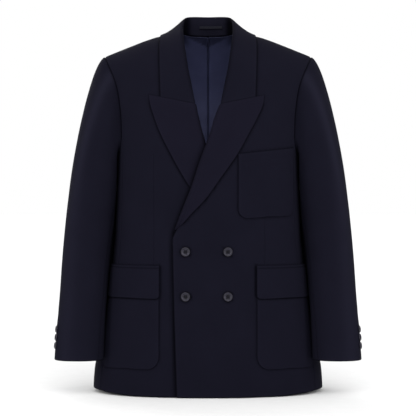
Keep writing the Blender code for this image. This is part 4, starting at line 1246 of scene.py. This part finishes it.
def make_collar():
    end = collar_end()
    grid = []
    for station in np.linspace(-LAST_STATION, LAST_STATION, 2 * COLLAR_COLUMNS - 1):
        near_end = ease(abs(station), LAST_STATION - 1, LAST_STATION)
        grid.append(collar_section(station) * (1 - near_end)
                    + mirrored(end, math.copysign(1.0, station)) * near_end)
    coarse = overlapped(np.array(grid))
    piece = Piece(finer(coarse, steps=COLLAR_STEPS), "seam seam plain edge")
    # Painted shade along the collar's roll in front.
    piece.shade((coarse[:, ROLL_COLUMN], COLLAR_ROLL_SHADE, ROLL_SHADE_WIDTH),
                share=ease(piece.grid[..., 1], *COLLAR_FRONT_Y))
    piece.move(piece.relief)
    x, y, _ = split(piece.grid)
    stand = ease(from_edges(piece.grid)[2], *STAND_WAY) * ease(y, *STAND_Y)
    # Painted light inside the stand, less painted shade there, painted shade in its corners and a
    # painted shadow under the hanging loop.
    piece.marks["painted_light"] = STAND_PAINTED_LIGHT * stand * ease(np.abs(x), *STAND_PAINTED_LIGHT_X)
    piece.marks["painted_shade"] *= 1 - PAINTED_SHADE_LIFT * stand
    piece.darken(STAND_CORNER_SHADE * (stand * ease(np.abs(x), *STAND_CORNER_SHADE_X)))
    piece.shade((loop_rows()[:, 0] + LOOP_SHADE_PLACE, *LOOP_SHADE))
    piece.sew("collar", LEFT, "folded", offset=0.0)


def loop_rows():
    """The hanging loop's points on the stand, from its one end to the other."""
    grid = []
    middle, reach = (width / (COLLAR[1].neck_x + COLLAR[1].roll_x) * 2
                     for width in (LOOP_MIDDLE, LOOP_HALF_WIDTH))
    for station in np.linspace(middle - reach, middle + reach, LOOP_COLUMNS):
        neck, roll, _ = collar_lines(station)
        bow = LOOP_BOW * (1 - ((station - middle) / reach) ** 2)
        inwards = np.array((0.0, -1.0, 0.0)) * (CLOTH / 2 + LAY + LINING + bow)
        grid.append([neck + (roll - neck) * share + inwards
                     for share in np.linspace(*LOOP_SHARES, 3)])
    return np.array(grid)


def lining_top(x):
    """The lining's top edge as a way down the back: along the neck, then level."""
    neck = collar_curve(np.linspace(0, NECK_SIDE_STATION, NECK_STEPS))[:, :2]
    way = np.interp(np.abs(x), neck[:, 0], -neck[:, 1])
    return np.maximum(way + LINING_NECK_GAP, LINING_SHOULDER_WAY)


def make_lining():
    grid = []
    for share in np.linspace(0, 1, LINING_ROWS):
        side_way = LINING_SHOULDER_WAY + (LINING_BOTTOM_WAY - LINING_SHOULDER_WAY) * share
        reach = float(ARM_CURVES[BACK](side_way)[0]) * LINING_REACH
        start, count = LINING_FLAT_COLUMNS
        half = np.concatenate((LINING_COLUMNS, np.linspace(start, reach, count)))
        x = np.concatenate((-half[:0:-1], half))
        top = lining_top(x)
        way = top + (LINING_BOTTOM_WAY - top) * share
        grid.append(torso_point(x, ridge(x) - drop(way, BACK), BACK))
    grid = np.array(grid)
    x, _, z = split(grid)
    deep = PLEAT_DEPTH * bump(x, PLEAT_WIDTH) + line_of(x, *PLEAT_RIDGE)
    soft = fold_relief(LINING_FOLDS, x, z)
    grid = resampled(moved(grid, -(CLOTH + LINING_LAY) - deep + soft, BODY_INSIDE))
    x, _, z = split(grid)
    from_top = from_edges(grid)[0]
    # Painted shade on the lining: the V below the neck, under the stand, the top corners and the
    # pleat.
    v_shade = V_SHADE * ease(z - V_SHADE_SLOPE * np.abs(x), *V_SHADE_POINT)
    under_stand = TOP_SHADE * ease(from_top, *TOP_SHADE_WAY)
    corner = CORNER_SHADE * ease(np.abs(x), *CORNER_X) * ease(from_top, *CORNER_WAY)
    pleat_shade = PLEAT_SHADE[0] * bump(x, PLEAT_SHADE[1])
    painted_shade = np.maximum.reduce((v_shade, under_stand, corner, pleat_shade))
    sewn("lining_back", grid, {"painted_shade": painted_shade}, "hung", LINING, SATIN, slot="lining_blue")


# ---- Sleeves ----

TUCK = 0.0006
LEAN_CLEARANCE = 0.0004
LEAN_PLACES = ((0.5, 0.545), (0.7, 0.61))
LEAN_HEIGHTS = ((-0.27, -0.33), (-0.64, -0.59))
SLEEVE_COLUMNS = (25, 15)
HEAD_SHADE_WIDTH = 0.002
# The painted highlight's middle, width and strength: at its top, what it gains below, and where.
SLEEVE_HIGHLIGHT = ((0.046, 0.01, (-0.25, -0.64)), (0.009, 0.009, (-0.18, -0.42)),
          (0.11, -0.05, (-0.2, -0.42)))
SLEEVE_HIGHLIGHT_START = (-0.03, -0.075)

sleeve_ring = Curve(SLEEVE)


def armhole_halves():
    """Points round the armhole from the tip down the front, and up the back to the tip."""
    front, back = (np.array([torso_point(x, z, facing)
                             for x, z in outer_outline(facing)[:OUTLINE_POINTS]])
                   for facing in (FRONT, BACK))
    low_front, low_back = (ring_point(angles, arm_low(angles)) for angles in (
        np.radians(np.linspace(*ends, OUTLINE_POINTS // 2))
        for ends in ((FRONT_SEAM_ANGLE, 90.0), (90.0, BACK_SEAM_ANGLE))))
    for points in (np.concatenate((front, low_front[1:])),
                   np.concatenate((low_back[:-1], back[::-1]))):
        walked = lengths(points)
        yield walked / walked[-1], points


ARMHOLE = tuple(armhole_halves())


def armhole_point(place):
    """The armhole's point at a place round it: 0 at the tip, 0.25 in front, 0.5 underneath."""
    place = place % 1.0
    share = (place % 0.5) * 2
    down, up = (np.stack([np.interp(share, shares, points[:, axis]) for axis in range(3)], axis=-1)
                for shares, points in ARMHOLE)
    return np.where((place < 0.5)[..., None], down, up)


def beside_body(points, clearance, softness, lean=0.0):
    """The points moved sideways where they would lie in the body's side or too close to it;
    where the sleeve leans on the body, they are drawn towards it."""
    x, y, z = split(points)
    half_width, front, back = split(torso_ring(z))
    body = half_width * rounded(y / np.where(y < 0, front, back), ROUNDNESS)
    over = x - body - clearance
    x = body + clearance + (over + np.hypot(over, softness)) / 2
    return at(x - lean * np.maximum(x - body - LEAN_CLEARANCE, 0.0), y, z)


def lean_at(place, z):
    """How far the sleeve leans on the body: behind its middle, from the armpit to the wrist."""
    behind = ease(place, *LEAN_PLACES[0]) * ease(place, *LEAN_PLACES[1])
    return behind * ease(z, *LEAN_HEIGHTS[0]) * ease(z, *LEAN_HEIGHTS[1])


def sleeve_ring_point(place, z):
    """The sleeve's point at a place round it and a height below the armhole."""
    outer, half_width, middle, half_depth, clearance = split(sleeve_ring(z))
    turn = 2 * math.pi * np.asarray(place)
    power = 2 / SLEEVE_ROUNDNESS
    x = outer - half_width + half_width * powered(np.cos(turn), power)
    y = middle - half_depth * powered(np.sin(turn), power)
    return beside_body(at(x, y, z), clearance, BESIDE_SOFTNESS, lean_at(np.asarray(place) % 1, z))


def sleeve_point(place, down):
    """A point of the sleeve: down runs from 0 at the armhole over 1 at the biceps to 2."""
    low = sleeve_ring_point(place, BICEPS + (CUFF - BICEPS) * np.maximum(down - 1, 0.0))
    start = armhole_point(place)
    level = np.full(np.shape(place), BICEPS)
    end = sleeve_ring_point(place, level)
    below = sleeve_ring_point(place, level - BICEPS_STEP)
    height = np.maximum(start[..., 2] - BICEPS, LEAST_HEAD)[..., None]
    top = (1 + np.cos(2 * math.pi * place)) / 2
    pull = at(HEAD_BOTTOM_PULL + (HEAD_TOP_PULL - HEAD_BOTTOM_PULL) * top,
              -HEAD_FULLNESS * np.sin(2 * math.pi * place), -HEAD_FULLNESS * top)
    t = np.clip(down, 0.0, 1.0)
    head = hermite(start, pull, end, unit(below - end) * height, t[..., None])
    beside = beside_body(head, SLEEVE[-1].clearance * t, BESIDE_SOFTNESS * t)
    head = np.where(((head[..., 2] < BESIDE_FROM) & (down > 0))[..., None], beside, head)
    return np.where((down > 1)[..., None], low, head)


def painted_sleeve_highlight(round_way, z):
    """Painted highlight: a soft lighter streak down the front of the sleeve."""
    middle, width, strength = (top + gain * ease(z, *span) for top, gain, span in SLEEVE_HIGHLIGHT)
    return strength * bump(round_way - middle, width) * ease(z, *SLEEVE_HIGHLIGHT_START)


def make_sleeve_piece(name, side, start, end, downs, columns):
    """The part of a sleeve between two seams, whose places round it are given row by row."""
    places = start + (end - start) * np.linspace(0, 1, columns)
    points = overlapped(sleeve_point(places, np.broadcast_to(downs, places.shape)))
    points[0] -= unit(points[1] - points[0]) * TUCK
    both = finer(np.concatenate((points, places[..., None]), axis=2))
    piece = Piece(both[..., :3], "plain hem seam seam", SLEEVE_INSIDE)
    z, tops, from_head = piece.grid[..., 2], piece.grid[:1], piece.from_edges[0]
    sewn_in = relief_at(KINDS["seam"], from_head) - TUCK * bump(from_head, TUCK)
    sewn_in = sewn_in + arm_press(from_head, tops[..., 2])
    round_way = (both[..., 3] % 1.0) * SLEEVE_ROUND
    # Painted shade along the sleeve head's seam and a painted highlight down the sleeve's front.
    piece.darken(bump(from_head, HEAD_SHADE_WIDTH))
    piece.marks["painted_light"] = painted_sleeve_highlight(round_way, z)
    piece.move(fold_relief(SLEEVE_FOLDS, round_way, z)
               + fold_relief(SLEEVE_FOLDS, round_way - SLEEVE_ROUND, z) + piece.relief)
    piece.grid += sewn_in[..., None] * body_normal(tops)
    piece.sew(name, side, "hung")


def make_sleeve(side_name, side):
    downs = refined(DOWNS)[:, None]
    hind = HIND_SEAM_TOP + (HIND_SEAM_CUFF - HIND_SEAM_TOP) * ease(downs, 0.0, 2.0)
    front = np.full_like(downs, FRONT_ARM_SEAM)
    top, under = SLEEVE_COLUMNS
    make_sleeve_piece("top_sleeve_" + side_name, side, hind - 1, front, downs, top)
    make_sleeve_piece("under_sleeve_" + side_name, side, front, hind, downs, under)


# ---- Pockets and flaps ----

SEWN_DOWN = "press mouth press press"
FLAP_EDGES = "edge flap_top edge edge"
PATCH_STEPS = (0.0012, 0.0045)
# Painted shade in the flap's top seam and along its line of stitches.
FLAP_SHADE_LINES = ((0.55, 0.0, 0.0012), (0.5, FLAP_SEAM, 0.0012))
PATCH_COLUMNS = 24
PATCH_ROWS = 9
CORNER_ROWS = 7


def patch_grid(patch):
    """A patch with round lower corners on the body, its rows from the bottom up."""
    grid = []
    corner, width = patch.corner, patch.width
    height = max(patch.tops) - min(patch.bottoms)
    turns = np.radians(np.linspace(0, 90, CORNER_ROWS))
    for rise in [*(corner * (1 - np.cos(turns))), *np.linspace(corner, height, PATCH_ROWS)[1:]]:
        inset = corner - math.sqrt(max(corner**2 - max(corner - rise, 0.0) ** 2, 0.0))
        distance = np.linspace(inset, width - inset, PATCH_COLUMNS)
        top, bottom = (inner + (outer - inner) * distance / width
                       for inner, outer in (patch.tops, patch.bottoms))
        z = bottom + rise * (top - bottom) / height
        angles = [float(round_the_body(z_one, patch.inner_x, d)) for z_one, d in zip(z, distance)]
        grid.append(ring_point(np.array(angles), z))
    return np.array(grid)


def lay_patch(name, side, patch, layer, kinds, edge_shade=1.0, shades=()):
    piece = Piece(finer(patch_grid(patch), steps=PATCH_STEPS), kinds)
    x, _, z = split(piece.grid)
    # Painted shade along the patch's edges, in a flap's seam and stitches, and where other pieces
    # lie over it.
    piece.marks["painted_shade"] *= edge_shade
    if kinds == FLAP_EDGES:
        piece.darken(sum(line_of(piece.from_edges[1], *line) for line in FLAP_SHADE_LINES))
    piece.shade(*shades)
    piece.move(rise_of(side, x, z) + layer * (LAY + CLOTH) + piece.relief)
    piece.grid = lying_on_front(piece.grid, side)
    piece.sew(name, side, "hung")


def make_pockets(side_name, side):
    lay_patch("pocket_" + side_name, side, POCKET, 1, SEWN_DOWN, POCKET_EDGE_SHADE,
              patch_shades(patch_grid(FLAP), *FLAP_ON_POCKET))
    lay_patch("flap_" + side_name, side, FLAP, 2, FLAP_EDGES)


# ---- Buttons ----

BUTTON_RINGS = 26
BUTTON_TURNS = 72
BUTTON_BACK = ((0.97, 0.3), (0.86, 0.08), (0.7, 0.0))
HOLE_OUT = 0.24
HOLE_WIDTH = 0.085
HOLE_DEPTH = 0.45
HOLE_POWER = 4
FACE = Curve(((0.0, 0.56), (0.45, 0.54), (0.6, 0.6), (0.7, 0.84), (0.8, 0.98), (0.88, 0.99),
              (0.95, 0.88), (1.0, 0.6)))
# Painted shade in the button's dish and round its outer rim: where each starts and where it is
# full.
DISH_SHADE_SPAN = (0.56, 0.26)
RIM_SHADE_SPAN = (0.88, 0.96)
THREAD_RADIUS = 0.0004
THREAD_LEVEL = (0.6, 0.02)
ANY_DIRECTION = (0.31, 0.87, 0.39)
THREAD_SPREAD = 0.03
THREAD_SIDES = 6
THREAD_RINGS = ((-0.15, 0.35), (0.15, 1.0), (0.85, 1.0), (1.15, 0.35))


def bands(first, last, around):
    """The corners of the faces between rings of points that follow one another."""
    for a in range(first, last, around):
        for j in range(around):
            k = (j + 1) % around
            yield a + j, a + k, a + around + k, a + around + j


def make_button(node, radius, back, normal, rim_shade):
    """A turned button: a dished middle with four holes, a raised rim and crossed thread."""
    turns = np.linspace(0, 2 * math.pi, BUTTON_TURNS, endpoint=False)
    out, turn = np.meshgrid(np.linspace(0, 1, BUTTON_RINGS + 1)[1:], turns, indexing="ij")
    x, y = out * np.cos(turn), out * np.sin(turn)
    up = FACE(out)[..., 0]
    for hole_x in (-HOLE_OUT, HOLE_OUT):
        for hole_y in (-HOLE_OUT, HOLE_OUT):
            away = np.hypot(x - hole_x, y - hole_y) / HOLE_WIDTH
            up = up - HOLE_DEPTH * np.exp(-away ** HOLE_POWER)
    points = [(0.0, 0.0, FACE(0.0)[0] * BUTTON_THICKNESS)]
    points += list(at(x, y, up * BUTTON_THICKNESS).reshape(-1, 3))
    for share, height in BUTTON_BACK:
        points += [(share * math.cos(t), share * math.sin(t), height * BUTTON_THICKNESS)
                   for t in turns]
    points = np.array(points)
    faces = [(0, 1 + j, 1 + (j + 1) % BUTTON_TURNS) for j in range(BUTTON_TURNS)]
    last = len(points) - BUTTON_TURNS
    faces += [(a, d, c, b) for a, b, c, d in bands(1, last, BUTTON_TURNS)]
    faces.append(tuple(last + j for j in reversed(range(BUTTON_TURNS))))
    turned = np.array(Vector(normal).to_track_quat("Z", "Y").to_matrix())
    # Painted shade in the dish, and round the outer rim where rim_shade is given.
    from_middle = np.hypot(points[:, 0], points[:, 1])
    painted_shade = ease(from_middle, *DISH_SHADE_SPAN) + rim_shade * ease(from_middle, *RIM_SHADE_SPAN)
    made = add_object("fine_" + node, points * radius @ turned.T + back, faces, HORN,
                      {"painted_shade": painted_shade})
    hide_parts(node)
    bars = []
    level = (THREAD_LEVEL[0] * BUTTON_THICKNESS + THREAD_LEVEL[1]) * radius
    for cross in (((-1, -1), (1, 1)), ((-1, 1), (1, -1))):
        for shift in (-THREAD_SPREAD, THREAD_SPREAD):
            bars.append([(np.array((px * HOLE_OUT + shift * py, py * HOLE_OUT - shift * px, 0.0))
                          * radius + np.array((0.0, 0.0, level))) @ turned.T + back
                         for px, py in cross])
    return bars


def make_threads(bars):
    """Short stretches of thread between pairs of points, as one joined mesh."""
    points, faces = [], []
    for start, end in bars:
        along = unit(end - start)
        across = unit(np.cross(along, ANY_DIRECTION))
        up = np.cross(along, across)
        length = np.linalg.norm(end - start)
        base = len(points)
        for spot, share in THREAD_RINGS:
            for turn in [2 * math.pi * k / THREAD_SIDES for k in range(THREAD_SIDES)]:
                rim = (across * math.cos(turn) + up * math.sin(turn)) * THREAD_RADIUS * share
                points.append(start + along * (spot * length) + rim)
        last = len(points) - THREAD_SIDES
        faces += bands(base, last, THREAD_SIDES)
        faces.append(tuple(base + k for k in reversed(range(THREAD_SIDES))))
        faces.append(tuple(last + k for k in range(THREAD_SIDES)))
    add_object("button_threads", points, faces, THREAD)


def make_buttons():
    bars = []
    for number, (x, height) in enumerate(FRONT_BUTTONS, 1):
        normal = outward(torso_point(x, height, FRONT))
        seat = on_front(LEFT, x, height, 0.0) + normal * (LAY + front_relief(x, height))
        bars += make_button(f"front_button_{number}", FRONT_BUTTON_RADIUS, seat, normal, 1.0)
    for side_name, side in SIDES:
        for number, height in enumerate(CUFF_BUTTON_HEIGHTS, 1):
            seat = sleeve_ring_point(CUFF_BUTTON_PLACE, height)
            along = sleeve_ring_point(CUFF_BUTTON_PLACE, height + NEAR) - seat
            around = sleeve_ring_point(CUFF_BUTTON_PLACE + NEAR, height) - seat
            normal = unit(np.cross(around, along))
            normal *= math.copysign(1.0, normal[0])
            bars += make_button(f"cuff_button_{side_name}_{number}", CUFF_BUTTON_RADIUS,
                                mirrored(seat, side), mirrored(normal, side), 0.0)
    make_threads(bars)


# ---- Studio ----

CAMERA_PLACE = (0.0, -2.6, -0.349)
LENS = 107.14
SENSOR = 36.0
FLOOR = -0.7302
FLOOR_REACH = 60.0
WHITE = (1.0, 1.0, 1.0)
PAPER_TONES = ((0.3, 0.75), (0.7, 0.77))
PAPER_SCALE = 40.0
SUNS = table("name place strength", ("key", (0.08, -1.0, 0.95), 1.2),
             ("fill", (-0.5, 1.0, 0.55), 1.2))
SUN_SOFTNESS = 50.0
STRIPS = (("strip_right", 1), ("strip_left", -1))
STRIP_PLACE = (1.3, -0.9, -0.1)
STRIP_TARGET = (0.25, -0.02, -0.3)
STRIP_SIZE = (0.25, 1.6)
STRIP_POWER = 9.0


def add_floor():
    reach = FLOOR_REACH
    mesh = bpy.data.meshes.new("studio_floor")
    mesh.from_pydata([(-reach, -reach, FLOOR), (reach, -reach, FLOOR), (reach, reach, FLOOR),
                      (-reach, reach, FLOOR)], [], [(0, 1, 2, 3)])
    paper = Shading("paper")
    grain = paper.noise(paper.object_place(), PAPER_SCALE)
    paper.set(Base_Color=paper.ramp(grain, WHITE, *PAPER_TONES), Roughness=1.0,
              Specular_IOR_Level=0.0)
    mesh.materials.append(paper.material)
    put_in_scene("studio_floor", mesh)


def add_lamp(name, kind, strength, aim, **settings):
    lamp = bpy.data.lights.new(name, kind)
    lamp.energy = strength
    for key, value in settings.items():
        setattr(lamp, key, value)
    made = put_in_scene(name, lamp)
    made.rotation_euler = aim.to_track_quat("-Z", "Y").to_euler()
    return made


def make_studio():
    add_floor()
    for name, side in STRIPS:
        place, target = (Vector(mirrored(spot, side)) for spot in (STRIP_PLACE, STRIP_TARGET))
        strip = add_lamp(name, "AREA", STRIP_POWER, target - place, shape="RECTANGLE",
                         size=STRIP_SIZE[0], size_y=STRIP_SIZE[1])
        strip.location = place
    for sun in SUNS:
        add_lamp(sun.name, "SUN", sun.strength, -Vector(sun.place),
                 angle=math.radians(SUN_SOFTNESS))
    world = bpy.data.worlds.new("studio")
    world.use_nodes = True
    background = world.node_tree.nodes["Background"]
    background.inputs["Color"].default_value = (*WHITE, 1.0)
    background.inputs["Strength"].default_value = 1.0
    camera = bpy.data.cameras.new("camera")
    camera.lens = LENS
    camera.sensor_width = SENSOR
    made = put_in_scene("camera", camera)
    made.location = CAMERA_PLACE
    made.rotation_euler = (math.pi / 2, 0.0, 0.0)
    scene = bpy.context.scene
    scene.world = world
    scene.view_settings.view_transform = "Standard"
    scene.camera = made


def main():
    for side_name, side in SIDES:
        make_front("front_" + side_name, side)
        make_side("side_" + side_name, side)
        make_back("back_" + side_name, side)
        make_lapel("lapel_" + side_name, side)
        make_sleeve(side_name, side)
        make_pockets(side_name, side)
    make_collar()
    sewn("hanging_loop", finer(loop_rows(), steps=LOOP_STEPS), {}, "stretched", LINING,
         LOOP_CLOTH)
    make_lining()
    lay_patch("chest_pocket", LEFT, CHEST, 1, SEWN_DOWN, CHEST_EDGE_SHADE)
    make_buttons()
    make_studio()


main()
